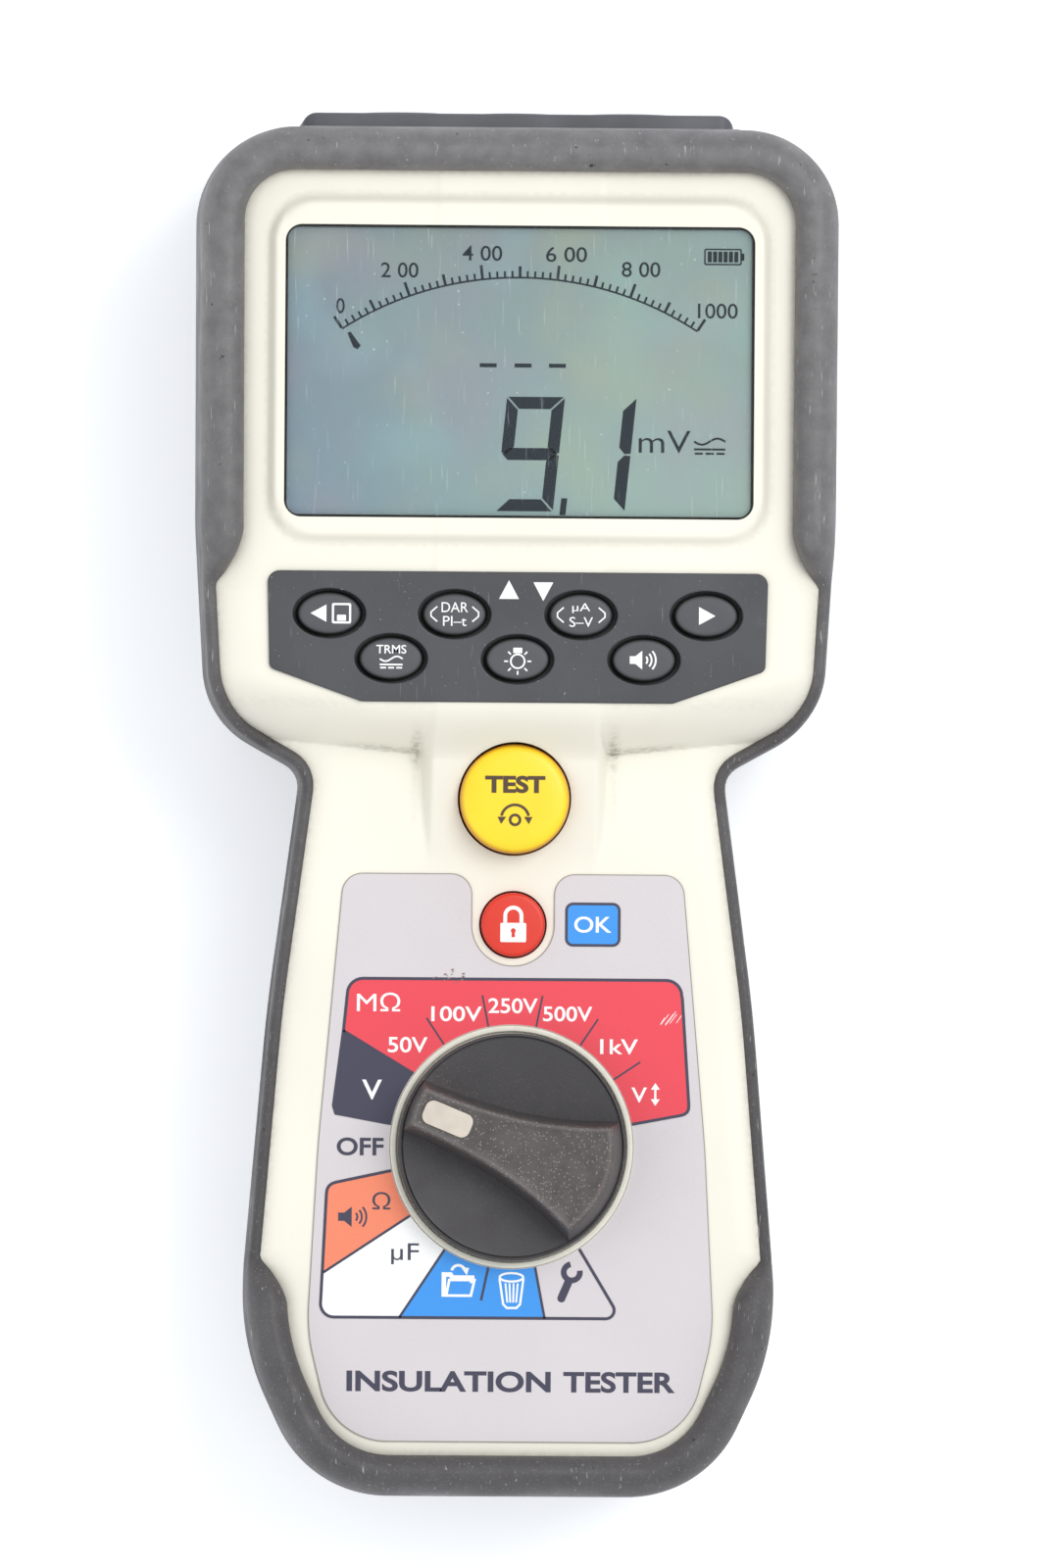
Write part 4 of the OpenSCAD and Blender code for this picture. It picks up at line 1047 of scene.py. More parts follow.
def build_terminal_block():
    """The block that carries the sockets: a bored plate with rounded edges, a raised lip round
    each bore and the signs for plus and minus."""
    s_z = middle_mm("socket_negative")[2]
    bores = [(middle_mm(node)[0], radius) for node, radius in
             (("socket_negative", 6.2), ("probe_socket", 5.4), ("socket_positive", 6.2))]
    size = (BLOCK_HIGH[0] - BLOCK_LOW[0], BLOCK_HIGH[2] - BLOCK_LOW[2])
    outline = box_loop(size, 2.5, (0, (BLOCK_LOW[2] + BLOCK_HIGH[2]) / 2))
    face = BLOCK_HIGH[1] - 0.45
    plate = show("plate", flat_mesh([outline] + [oval_loop(r, r, (x, s_z)) for x, r in bores], -face,
                                    -BLOCK_LOW[1], 0.5))
    plate.data.transform(Matrix.Rotation(math.pi / 2, 4, "X"))
    merge_doubles(plate.data, 1e-6)
    depth = face - BLOCK_LOW[1]
    plan = box_loop((size[0] - 0.02, depth - 0.02), 2.5, (0, BLOCK_LOW[1] + depth / 2))
    carve(plate, [prism("c", plan, BLOCK_LOW[2] - 1, BLOCK_HIGH[2] + 1)], "INTERSECT")
    plate.data.transform(Matrix.Rotation(-math.pi / 2, 4, "X"))
    meshes = [plate.data.copy()]
    bpy.data.meshes.remove(plate.data)
    meshes += [flat_mesh([oval_loop(r + 1.2, r + 1.2, (x, s_z)), oval_loop(r, r, (x, s_z))],
                         -BLOCK_HIGH[1] + 0.02, -face + 0.6, 0.15) for x, r in bores]
    block = joined("terminal_block_moulded", meshes)
    signs = [flat_mesh(stroke([[x - 1.3, s_z + 10.5], [x + 1.3, s_z + 10.5]], 0.6), -face - 0.1, -face + 0.1)
             for x in (bores[0][0], bores[2][0])]
    signs += [flat_mesh(stroke([[bores[2][0], s_z + 10.5 + a], [bores[2][0], s_z + 10.5 + b]], 0.6),
                        -face - 0.1,
                        -face + 0.1) for a, b in ((-1.3, -0.32), (0.32, 1.3))]
    marks = joined("terminal_block_signs", signs)
    for piece in (block, marks):
        piece.data.transform(Matrix.Rotation(math.pi / 2, 4, "X"))
    finish_piece(block, finish("block_plastic"), replaces=("terminal_block",))
    finish_piece(marks, ink("terminal_sign_ink", colours()["white"]))


def build_knob():
    """The range knob: a dished disc with a raised lip, a shaft, and a grip bar whose half width is
    3.4 + 7 ((18.2 - u) / 34.4)^2.4 at u along the pointer; also the cream ring round it."""
    s = sizes()
    r, z = s["knob_r"], HANDLE_Z
    ring_r = s["ring_r"]
    ring = lathe("knob_ring", [[r + 0.3, z - 0.2], [ring_r, z - 0.2], [ring_r, z + 0.55]]
                 + fillet((ring_r, z + 0.55), (ring_r, z + 0.95), (ring_r - 0.3, z + 0.95))
                 + fillet((r + 0.6, z + 0.95), (r + 0.3, z + 0.95), (r + 0.3, z + 0.6))
                 + [[r + 0.3, z - 0.2]], (0, KNOB_Y), 160)
    value_attribute(ring, "grime", np.full(len(ring.data.vertices), 0.06))
    finish_piece(ring, finish("cream_shell"))

    deck = z + 4.6
    outline = [[0, 33.9], [4, 33.9], [4, z + 0.6], [r - 0.3, z + 0.6], [r, z + 0.9], [r, deck - 0.1]]
    outline += fillet((r, deck - 0.1), (r, deck + 0.2), (r - 0.25, deck + 0.2), 4)
    outline += [[r - 0.4, deck + 0.2], [r - 0.45, deck - 0.3], [r - 0.65, deck - 0.3], [r - 0.7, deck + 0.2],
                [r - 1.2, deck + 0.1], [0, deck - 0.2]]
    disc = lathe("knob_disc", outline, (0, KNOB_Y), 160)

    u = np.concatenate([np.linspace(-21, 21, 70), np.full(9, 21), np.linspace(21, -21, 70), np.full(15, -21)])
    half = 3.4 + 7.0 * (np.clip(18.2 - u, 0, None) / 34.4) ** 2.4
    side = np.concatenate([-np.ones(70), np.linspace(-0.8, 0.8, 9), np.ones(70),
                           np.linspace(0.87, -0.87, 15)])
    levels = [(1.25, deck - 1.0, 18.4), (1.15, deck + 0.2, 18.3), (0.35, deck + 6.4, 18.0),
              (0.12, deck + 7.6, 17.9),
              (0.0, deck + 8.0, 17.75), (-0.22, deck + 8.28, 17.5), (-0.5, deck + 8.34, 17.2),
              (-0.85, deck + 8.2, 16.8), (-1.2, deck + 8.1, 16.4)]
    rings = []
    for grow, height, limit in levels:
        spot = np.column_stack([u, side * (half + grow)])
        reach = np.hypot(*spot.T)
        tail = limit - (1.3 * smooth((height - deck) / 8) * (u < 0))
        spot *= np.minimum(1, tail / reach)[:, None]
        rings.append(np.column_stack([spot, np.full(len(u), height)]))
    aim = np.array([-8.0, 0.0, deck + 8.1])
    for share in (0.75, 0.5, 0.25, 0.0):
        last = rings[len(levels) - 1]
        rings.append(aim + (last - aim) * share)
    rings.insert(0, (rings[0] - aim) * 0.0 + [0, 0, deck - 1.0])
    points = np.stack(rings)
    turn = np.array([[math.cos(KNOB_ANGLE), -math.sin(KNOB_ANGLE)],
                     [math.sin(KNOB_ANGLE), math.cos(KNOB_ANGLE)]])
    points[..., :2] = points[..., :2] @ turn.T + [0, KNOB_Y]
    grip = solid("knob_grip", points.reshape(-1, 3),
                 grid_quads(len(rings), len(u), close_columns=True).tolist(), weld=True)
    for piece in (disc, grip):
        at = vertices_mm(piece)
        local = (at[:, :2] - [0, KNOB_Y]) @ turn
        high = smooth((at[:, 2] - deck - 6.5) / 1.2)
        near = (np.exp(-np.maximum(0, np.abs(local[:, 1]) - 5) / 5)
                * (0.25 + 0.2 * (local[:, 1] < 0)) * (at[:, 2] > deck - 0.8))
        value_attribute(piece, "dusty", np.clip(high + near, 0, 1))
        # The grip's crown lighter: wear and a painted highlight.
        value_attribute(piece, "rub", 0.5 * smooth((at[:, 2] - deck - 8.14) / 0.18))
    finish_piece(disc, finish("knob_plastic"), "range_knob")
    finish_piece(grip, finish("knob_plastic"), "range_knob", ("range_knob",), 40)
    marker = show("knob_marker_inlay", flat_mesh([box_loop((8.4, 4.1), 1.4)], deck + 8.05, deck + 8.4, 0.12))
    marker.data.transform(Matrix.Translation((0, KNOB_Y * MM, 0)) @ Matrix.Rotation(KNOB_ANGLE, 4, "Z")
                          @ Matrix.Translation((12 * MM, 0, 0)))
    finish_piece(marker, finish("marker_white"), "range_knob", ("knob_marker",))


def build_spring():
    """The test button's return spring: a wire carried round five turns of a helix that runs level
    for a third of a turn at each end."""
    low, high = box_mm("test_spring")
    wire = 0.45
    radius = (high[0] - low[0]) / 2 - wire
    bottom, top = low[2] + wire, high[2] - wire
    t = np.linspace(0, 1, 200)
    turn = t * 5.6 * 2 * np.pi
    rise = bottom + (top - bottom) * np.clip((t - 0.06) / 0.88, 0, 1)
    out = np.column_stack([np.cos(turn), np.sin(turn), 0 * t])
    around = (np.arange(10) * 2 * np.pi / 10)[None, :, None]
    path = out * radius + np.column_stack([0 * t, 0 * t + TEST_Y, rise])
    skin = path[:, None] + wire * (np.cos(around) * out[:, None] + np.sin(around) * np.array([0, 0, 1.0]))
    faces = grid_quads(200, 10, close_columns=True).tolist()
    coil = solid("test_spring_coil", skin.reshape(-1, 3), [face[::-1] for face in faces]
                 + [list(range(10)), list(range(1990, 2000))[::-1]])
    edit = bmesh.new()
    edit.from_mesh(coil.data)
    bmesh.ops.recalc_face_normals(edit, faces=edit.faces)
    edit.to_mesh(coil.data)
    edit.free()
    finish_piece(coil, finish("spring_steel"), replaces=("test_spring",))
    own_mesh(coil)


def build_buttons():
    """The round test and lock buttons, each one turned profile with its hollow and its legend."""
    s = sizes()
    r = s["test_r"]
    low, high = box_mm("test_button")[0][2], box_mm("test_button")[1][2]
    skirt = low + 1.1
    profile = [[0, low], [2, low], [2, high - 3], [7.4, high - 3], [7.4, low + 0.9],
               [r + 1.4, low + 0.9], [r + 1.4, skirt + 0.9], [r, skirt + 0.9], [r, high - 1.6]]
    profile += fillet((r, high - 1.6), (r - 0.05, high - 0.35), (r - 1.7, high - 0.12), 9)
    profile += [[r - 4, high - 0.03], [0, high]]
    test = lathe("test_button_yellow", profile, (0, TEST_Y), 128)
    # The rim and side below the top's plateau take the deeper yellow: painted shade.
    value_attribute(test, "edge", smooth((high - 0.3 - vertices_mm(test)[:, 2]) / 0.9))
    finish_piece(test, finish("test_yellow"), "test_button", ("test_button",))
    top = high - 0.02
    loops = stroke(arc((0, TEST_Y - 3.3), 2.3, 12, 168), 0.45)
    heads = [[[x * 1.5, TEST_Y - 3.0], [x * 2.9, TEST_Y - 3.0], [x * 2.3, TEST_Y - 4.2]][::x]
             for x in (1, -1)]
    meshes = [text_mesh("TEST", (0, TEST_Y + 2.4), 2.9, 10, top, top + 0.06, 0.04),
              flat_mesh(loops, top, top + 0.06), flat_mesh(heads, top, top + 0.06),
              flat_mesh([oval_loop(1.05, 1.05, (0, TEST_Y - 3.5), 32),
                         oval_loop(0.6, 0.6, (0, TEST_Y - 3.5), 32)],
                        top, top + 0.06)]
    finish_piece(joined("test_button_legend", meshes), ink("test_legend_ink", to_linear("#4a3620")),
                 "test_button")

    r = s["lock_r"]
    low, high = box_mm("lock_button")[0][2], box_mm("lock_button")[1][2]
    profile = [[0, low], [2, low], [2, low + 2.3], [r + 1.4, low + 2.3], [r + 1.4, low + 3.4], [r, low + 3.4],
               [r, high - 0.7]] + fillet((r, high - 0.7), (r, high), (r - 0.8, high), 7) + [[0, high]]
    lock = lathe("lock_button_red", profile, (0, LOCK_Y), 96)
    finish_piece(lock, finish("lock_red"), "lock_button", ("lock_button",))
    y = LOCK_Y
    body = box_loop((4.3, 3.2), 0.25, (0, y - 1.3))
    bow = np.vstack([[[-1.35, y + 0.34]], arc((0, y + 1.5), 1.35, 180, 0, 20), [[1.35, y + 0.34]]])
    keyhole = np.vstack([arc((0, y - 1.0), 0.42, -50, 230, 16), [[-0.3, y - 2.1], [0.3, y - 2.1]]])
    meshes = [flat_mesh([body, keyhole], high, high + 0.05), flat_mesh(stroke(bow, 0.62), high, high + 0.05)]
    finish_piece(joined("lock_button_legend", meshes), ink("lock_legend_ink", colours()["white"]),
                 "lock_button")


def speaker(centre, scale):
    """Loops of a loudspeaker sign with three sound arcs."""
    x, y = centre
    horn = [[-1.9, -0.55], [-1.1, -0.55], [-0.1, -1.35], [-0.1, 1.35], [-1.1, 0.55], [-1.9, 0.55]]
    loops = [np.array(horn) * scale + centre]
    for radius in (0.75, 1.35, 1.95):
        loops += stroke(arc((x - 0.1 * scale, y), radius * scale, -42, 42, 12), 0.26 * scale)
    return loops


def tilde(x, y, half, rise, width):
    """A wave of one period."""
    t = np.linspace(-1, 1, 20)
    return stroke(np.column_stack([x + t * half, y + rise * np.sin(t * np.pi)]), width)


def wave_over_dashes(x, y, half, width, gap):
    """The sign for alternating and direct: a wave over a bar over three dashes."""
    loops = tilde(x, y + width * 2 + gap, half, 1.5 * width, width)
    loops += stroke([[x - half, y], [x + half, y]], width)
    for k in (-1, 0, 1):
        low = y - width - 0.6 * gap
        loops += stroke([[x + (k * 0.7 - 0.26) * half, low], [x + (k * 0.7 + 0.26) * half, low]], width)
    return loops


def key_legend(name, z):
    """Meshes of one key's white legend, round its own centre."""
    low, high = z, z + 0.03
    triangle = np.array([[-1.15, 0], [0.95, 1.15], [0.95, -1.15]])
    if name == "key_next":
        return [flat_mesh([-triangle * 1.3], low, high)]
    if name == "key_store":
        disk = [box_loop((3.2, 3.4), 0.3, (2.0, 0)), box_loop((2.5, 2.7), 0.2, (2.0, 0)),
                box_loop((1.5, 1.0), 0.1, (2.0, -0.75))]
        return [flat_mesh([triangle * 1.25 + [-1.7, 0]], low, high), flat_mesh(disk, low, high)]
    if name in ("key_ratio", "key_current"):
        words = ("DAR", "PI–t") if name == "key_ratio" else ("µA", "S–V")
        ends = []
        for side in (-1, 1):
            bend = [[side * 2.9, 1.25], [side * 3.95, 0.35], [side * 3.95, -0.35], [side * 2.9, -1.25]]
            ends += stroke(bend, 0.24)
        return [text_mesh(words[0], (0, 1.15), 1.65, 4.4 if name == "key_ratio" else 3.0, low, high),
                text_mesh(words[1], (0, -1.15), 1.65, 3.9, low, high), flat_mesh(ends, low, high)]
    if name == "key_true_rms":
        return [text_mesh("TRMS", (0, 1.5), 1.45, 5.0, low, high, 0.01),
                flat_mesh(wave_over_dashes(0, -1.05, 1.9, 0.27, 0.42), low, high)]
    if name == "key_backlight":
        rays = []
        for angle in (-90, -135, 180, 135, 45, 0, -45):
            a = math.radians(angle)
            way = np.array([math.cos(a), math.sin(a)])
            rays += stroke([way * 1.6 - [0, 0.35], way * 2.25 - [0, 0.35]], 0.26)
        bulb = stroke(arc((0, -0.35), 1.15, 0, 360, 33)[:-1], 0.28, True)
        cap = [box_loop((1.5, 0.9), 0.1, (0, 1.45))]
        return [flat_mesh(bulb, low, high), flat_mesh(rays, low, high), flat_mesh(cap, low, high)]
    return [flat_mesh(speaker((-0.2, 0), 1.15), low, high)]


def build_keys():
    """The seven oval keys: nested ovals from the actuator up to a crown with a rounded edge."""
    s = sizes()
    white = ink("key_legend_ink", colours()["white"], 0.5)
    a, b = s["key_x"] / 2, s["key_y"] / 2
    for name, centre in key_centres().items():
        low, high = box_mm(name)[0][2], box_mm(name)[1][2]
        foot = HEAD_Z - 4.7
        levels = [(-9, low), (1.5 - a, low), (1.5 - a, foot), (1.0, foot), (1.0, foot + 1.2), (0, foot + 1.2),
                  (0, high - 0.75)]
        levels += [(-0.9 * (1 - math.cos(t)), high - 0.75 + 0.7 * math.sin(t))
                   for t in np.linspace(0.2, 1.5, 7)]
        levels += [(-1.8, high - 0.02), (-3.2, high), (-9, high)]
        t = np.arange(72) * 2 * np.pi / 72
        rings = []
        for grow, z in levels:
            ra, rb = (0, 0) if grow < -8 else (a + grow, max(b + grow, 0.15))
            if z <= foot and -8 < grow < 0:
                ra = rb = 1.5
            rings.append(np.column_stack([centre[0] + ra * np.cos(t), centre[1] + rb * np.sin(t), 0 * t + z]))
        key = solid(name + "_oval", np.vstack(rings),
                    grid_quads(len(rings), 72, close_columns=True).tolist(), weld=True)
        # The key's rounded rim and sides darken to near black: painted shade.
        value_attribute(key, "edge", smooth((high - 0.08 - vertices_mm(key)[:, 2]) / 0.4))
        finish_piece(key, finish("key_rubber"), name, (name,))
        legend = joined(name + "_legend", key_legend(name, high + 0.005))
        legend.data.transform(Matrix.Translation((*centre * MM, 0)))
        finish_piece(legend, white, name)


def build_key_panel():
    """The dark plate round the keys, with bevelled edges, its oval cut-outs and two white arrows."""
    s = sizes()
    right = [[25.9, 16.7, 1.4], [41.2, 22.2, 1.2], [41.6, 38.4, 2.0]]
    outline = round_corners(right + [[-x, y, r] for x, y, r in right[::-1]], 0.3)
    holes = [oval_loop(s["key_x"] / 2 + 0.85, s["key_y"] / 2 + 0.65, spot) for spot in key_centres().values()]
    plate = show("key_panel_plate", flat_mesh([outline] + holes, HEAD_Z - 0.2, PANEL_Z, 0.25))
    finish_piece(plate, finish("key_panel"), replaces=("key_panel",))
    arrows = [np.array([[-1.65, -1.4], [1.65, -1.4], [0, 1.7]]) + [-1.5, 35.3],
              np.array([[1.65, 1.4], [-1.65, 1.4], [0, -1.7]]) + [4.2, 35.3]]
    finish_piece(show("key_panel_arrows", flat_mesh(arrows, PANEL_Z, PANEL_Z + s["ink"])),
                 ink("panel_arrow_ink", colours()["white"]))


def build_display():
    """The liquid crystal's picture: its ground, the curved scale, the reading and the signs."""
    glass_z = box_mm("lcd_glass")[1][2]
    ground_piece = show("display_ground", flat_mesh([box_loop((77.4, 48.0), 2.0, (0, WINDOW_Y))],
                                                    glass_z + 0.01, glass_z + 0.05))
    finish_piece(ground_piece, finish("lcd"))
    low, high = glass_z + 0.05, glass_z + 0.09
    hub = (0.0, 33.0)
    reach = 54.3
    loops = []
    for k in range(51):
        a = math.radians(122.9 - 65.8 * k / 50)
        way = np.array([math.cos(a), math.sin(a)])
        tall = 2.4 if k % 10 == 0 else 1.9 if k % 5 == 0 else 1.1
        loops += stroke([hub + way * (reach + 0.15), hub + way * (reach + tall)],
                        0.46 if k % 5 == 0 else 0.34)
    words = [("0", (-29.8, 82.4), 1.4), ("2 00", (-20.0, 88.4), 6.2), ("4 00", (-6.3, 91.3), 6.6),
             ("6 00", (7.7, 91.2), 6.8), ("8 00", (20.1, 88.8), 6.4), ("1000", (32.9, 82.0), 6.6)]
    meshes = [text_mesh(word, spot, 2.5, wide, low, high, 0.004) for word, spot, wide in words]
    meshes.append(flat_mesh(loops, low, high))
    meshes.append(flat_mesh(stroke(arc(hub, reach, 57.1, 122.9, 90), 0.3), low, high))
    meshes.append(flat_mesh([[[-28.6, 77.9], [-28.1, 78.1], [-26.4, 75.8], [-26.9, 75.2],
                              [-27.6, 75.5]][::-1]], low, high))
    for x in (-5.2, 0.6, 6.3):
        meshes.append(flat_mesh(stroke([[x - 1.4, 72.7], [x + 1.4, 72.7]], 0.65), low, high))

    def seven(x, y, wide, tall, bars):
        """Bars of a leaning digit whose outer lower left corner is at x, y. A side bar is cut at
        45 degrees where it meets a level bar, the middle bar is pointed, and everything leans by
        0.1 of its height."""
        t, gap, half = 2.0, 0.2, tall / 2
        level = (np.array([[0, 0], [wide, 0], [wide - t, t], [t, t]])
                 + [[gap, 0], [-gap, 0], [-gap, 0], [gap, 0]])
        upright = np.array([[wide, gap], [wide, half - gap], [wide - t / 2, half - gap],
                            [wide - t, half - t / 2 - gap],
                            [wide - t, t + gap]])
        upright[2] += [0, 0.1]
        middle = np.array([[gap, 0], [t / 2 + gap, -t / 2], [wide - t / 2 - gap, -t / 2], [wide - gap, 0],
                           [wide - t / 2 - gap, t / 2], [t / 2 + gap, t / 2]]) + [0, half]
        across, over = np.array([wide, 0]), np.array([0, tall])
        shapes = {"d": level, "a": (over + level * [1, -1])[::-1], "c": upright, "g": middle,
                  "b": (over + upright * [1, -1])[::-1], "f": over + across - upright}
        out = []
        for bar in bars:
            shape = np.array(shapes[bar], float)
            shape[:, 0] += shape[:, 1] * 0.10 + x
            shape[:, 1] += y
            out.append(shape)
        return out

    for loop in seven(-3.9, 48.5, 9.6, 19.0, "abcdfg") + seven(8.0, 48.5, 9.6, 19.0, "bc"):
        meshes.append(flat_mesh([loop], low, high))
    meshes.append(flat_mesh([[[6.8, 47.9], [7.8, 47.9], [8.1, 50.7], [7.1, 50.7]]], low, high))
    meshes.append(text_mesh("mV", (24.2, 60.2), 3.7, 8.6, low, high, -0.005))
    meshes.append(flat_mesh(wave_over_dashes(31.7, 59.0, 2.6, 0.34, 0.62), low, high))
    frame_loop = box_loop((6.0, 2.5), 0.2, (33.7, 91.0))
    meshes.append(flat_mesh(stroke(frame_loop, 0.25, True), low, high))
    bars = [box_loop((0.68, 1.8), 0.1, (31.5 + k * 0.88, 91.0)) for k in range(6)]
    meshes.append(flat_mesh(bars + [box_loop((0.5, 1.2), 0.1, (37.0, 91.0))], low, high))
    finish_piece(joined("display_segments", meshes),
                 ink("display_dark_segments", colours()["segment"], 0.5, 0.1))


def build_label():
    """The printed overlay on the handle and everything printed on it."""
    c = colours()
    notch = 6.8
    right = [[29.4, -106.3, 11.5], [33.9, -88, 30], [32.3, KNOB_Y, 200], [28.3, -11.6, 3.5],
             [notch, -11.6, 3.5],
             [notch, LOCK_Y - notch, notch - 0.02]]
    outline = round_corners(right + [[-x, y, r] for x, y, r in right[::-1]], 0.5)
    ring = sizes()["ring_r"] + 0.1
    hole = oval_loop(ring, ring, (0, KNOB_Y), 128)
    film = show("label_overlay", flat_mesh([outline, hole], HANDLE_Z - 0.05, LABEL_Z, 0.08))
    finish_piece(film, finish("label"), replaces=("front_label",))
    z = LABEL_Z + 0.004
    t = sizes()["ink"]

    def on_ring(angle, radius=ring + 0.1):
        return [radius * math.cos(math.radians(angle)), KNOB_Y + radius * math.sin(math.radians(angle))]

    def along(start, end, radius=ring + 0.1):
        return arc((0, KNOB_Y), radius, start, end, 40).tolist()

    # Places where two zones of the label meet its edge, and its two rounded top corners.
    red_right = [28.3, -32.2]
    red_left = [-28.1, -37.9]
    white_left = [-31.2, -78.2]
    blue_left = [-18.5, -85.6]
    blue_right = [5.7, -85.6]
    grey_left = [[-29.7, -50.4], [-29.3, -51.7]]
    top_edge = (arc((25.6, -31.8), 2.6, 0, 90, 8).tolist()
                + arc((-24.9, -31.8), 2.6, 90, 180, 8).tolist())
    low_corner = arc((-29.4, -83.4), 2.2, 180, 270, 8).tolist()
    red_corner = fillet((28.2, -51.66), (29.6, -51.4), (29.5, -50.0), 5)
    orange_corner = fillet((-29.2, -63.17), (-30.7, -63.5), (-30.75, -65.0), 5)
    red_loop = (red_corner + [red_right] + top_edge + [red_left] + along(143.5, 11))
    dark_loop = ([red_left] + grey_left + along(169.5, 143.5))
    orange_loop = orange_corner + [white_left] + along(214.5, 191.5)
    white_loop = ([white_left, [-31.6, -83.4]] + low_corner
                  + [blue_left] + along(237.3, 214.5))
    blue_loop = [blue_left, blue_right, [4.3, -77.2]] + along(281.5, 237.3)
    badge = box_loop((8.8, 6.9), 1.1, (13.3, -20.0))
    fills = (("label_red_ink", c["red"], [red_loop]), ("label_navy_zone", c["navy"], [dark_loop]),
             ("label_orange_ink", c["orange"], [orange_loop]), ("label_white_zone", c["white"], [white_loop]),
             ("label_blue_ink", c["blue"], [blue_loop, badge]))
    for name, colour, loops in fills:
        piece = show(name, flat_mesh([np.array(loop) for loop in loops], z, z + t))
        finish_piece(piece, ink(name, colour))

    w = 0.5
    upper_edge = ([on_ring(11)] + red_corner + [red_right] + top_edge + [red_left] + grey_left
                  + [on_ring(169.5)])
    lower_edge = ([on_ring(191.5)] + orange_corner + [[-31.6, -83.4]] + low_corner
                  + [[15.9, -85.6]] + arc((15.9, -84.2), 1.4, 270, 390, 8).tolist() + [on_ring(304)])
    cut = show("label_cut_edge", flat_mesh(stroke(outline + inward(outline) * 0.1, 0.16, True), z, z + 0.01))
    finish_piece(cut, ink("label_cut_edge", to_linear("#8f8880")))
    chance = np.random.default_rng(4)
    scuffs = [flat_mesh(stroke([spot, spot + [0.5 + 0.9 * k, 0.9 + 0.9 * k]], 0.13),
                        z + 2 * t, z + 2 * t + 0.004 * (n + 1))
              for n, (spot, k) in enumerate(zip(chance.normal((26.0, -36.6), (0.8, 0.5), (7, 2)),
                                                chance.random(7)))]
    finish_piece(joined("label_scratches", scuffs), ink("label_scratch_white", to_linear("#f0dcdc")))
    smudge = [flat_mesh([oval_loop(size, size * 0.6, spot, 10)], z + 2 * t, z + 2 * t + 0.004 * (n + 1))
              for n, (spot, size) in
              enumerate(zip(chance.normal((-9.8, -28.9), (1.6, 0.6), (16, 2)),
                            chance.uniform(0.08, 0.26, 16)))]
    finish_piece(joined("label_smudge", smudge), ink("label_smudge_brown", to_linear("#8c6a68")))
    lines = [flat_mesh(stroke(edge, w), z + t, z + 2 * t) for edge in (upper_edge, lower_edge)]
    splits = [[on_ring(143.5), red_left], [on_ring(214.5), white_left], [on_ring(237.3), blue_left],
              [on_ring(281.5), blue_right], [on_ring(259.5), [-4.9, -82.7]]]
    lines += [flat_mesh(stroke(edge, 0.42), z + t, z + 2 * t) for edge in splits]
    for angle in (123.75, 101.25, 78.75, 56.25, 33.75):
        lines.append(flat_mesh(stroke([on_ring(angle), on_ring(angle, 25.7)], 0.3), z + t, z + 2 * t))
    lines.append(flat_mesh(stroke(badge, 0.45, True), z + t, z + 2 * t))
    lines += [text_mesh("OFF", (-25.2, -57.2), 3.0, 7.8, z, z + t, 0.022),
              text_mesh("Ω", (-21.6, -66.2), 2.9, 3.0, z + t, z + 2 * t),
              text_mesh("µF", (-17.6, -75.0), 3.5, 4.6, z + t, z + 2 * t),
              flat_mesh(speaker((-26.4, -68.9), 1.25), z + t, z + 2 * t),
              text_mesh("INSULATION", (-10.2, -96.2), 3.5, 34.0, z, z + t, 0.03),
              text_mesh("TESTER", (18.2, -96.2), 3.5, 18.6, z, z + t, 0.03)]
    lines += [flat_mesh(stroke(arc((10.2, -77.9), 1.35, 100, 372, 24), 0.95), z, z + t),
              flat_mesh(stroke([[9.7, -79.4], [8.5, -82.2]], 1.35), z, z + t + 0.003),
              flat_mesh([oval_loop(0.675, 0.675, (8.5, -82.25), 24)], z, z + t + 0.006)]
    finish_piece(joined("label_navy_lines", lines), ink("label_navy_ink", c["navy"]))

    up, top = z + t, z + 2 * t
    words = [("MΩ", (-22.3, -33.1), 3.1, 7.2), ("50V", (-17.4, -40.2), 2.6, 6.6),
             ("100V", (-9.3, -35.0), 2.5, 8.4),
             ("250V", (0.1, -33.6), 2.5, 8.2), ("500V", (9.2, -34.9), 2.5, 8.2),
             ("1kV", (17.8, -40.3), 2.5, 6.3),
             ("V", (21.2, -48.3), 2.5, 2.6), ("V", (-23.3, -47.7), 3.3, 3.3), ("OK", (13.3, -20.0), 2.7, 6.2)]
    light = [text_mesh(word, spot, tall, wide, up, top, 0.0 if word == "MΩ" else 0.012)
             for word, spot, tall, wide in words]
    light.append(flat_mesh(stroke([[23.9, -49.3], [23.9, -47.1]], 0.36), up, top))
    light += [flat_mesh([loop], up, top + 0.004) for loop in
              ([[23.15, -47.4], [24.65, -47.4], [23.9, -46.3]],
               [[24.65, -49.0], [23.15, -49.0], [23.9, -50.1]])]
    step = 0.004
    pouch = [[-10.7, -81.9], [-6.6, -81.9], [-6.0, -79.3], [-10.2, -79.3]]
    tab = [[-11.1, -82.1], [-11.1, -78.4], [-10.0, -78.4], [-9.7, -78.9], [-6.4, -78.9], [-6.4, -79.8]]
    light += [flat_mesh(stroke(pouch, 0.42, True), up, top), flat_mesh(stroke(tab, 0.75), up, top + step),
              flat_mesh(stroke(arc((-8.7, -78.0), 1.15, 165, 35, 12), 0.45), up, top + 2 * step),
              flat_mesh([[[-8.3, -77.1], [-6.9, -77.3], [-7.3, -78.5]][::-1]], up, top + 3 * step)]
    sides = [[-1.85, -79.0], [-1.2, -83.3], [-0.6, -83.9], [1.0, -83.9], [1.6, -83.3], [2.15, -79.0]]
    light += [flat_mesh(stroke(oval_loop(1.95, 0.7, (0.15, -78.8), 40), 0.36, True), up, top),
              flat_mesh(stroke(sides, 0.36), up, top + step)]
    light += [flat_mesh(stroke([[0.15 + k, -79.8], [0.2 + 0.72 * k, -83.0]], 0.3), up, top + 2 * step)
              for k in (-1.0, -0.33, 0.36, 1.05)]
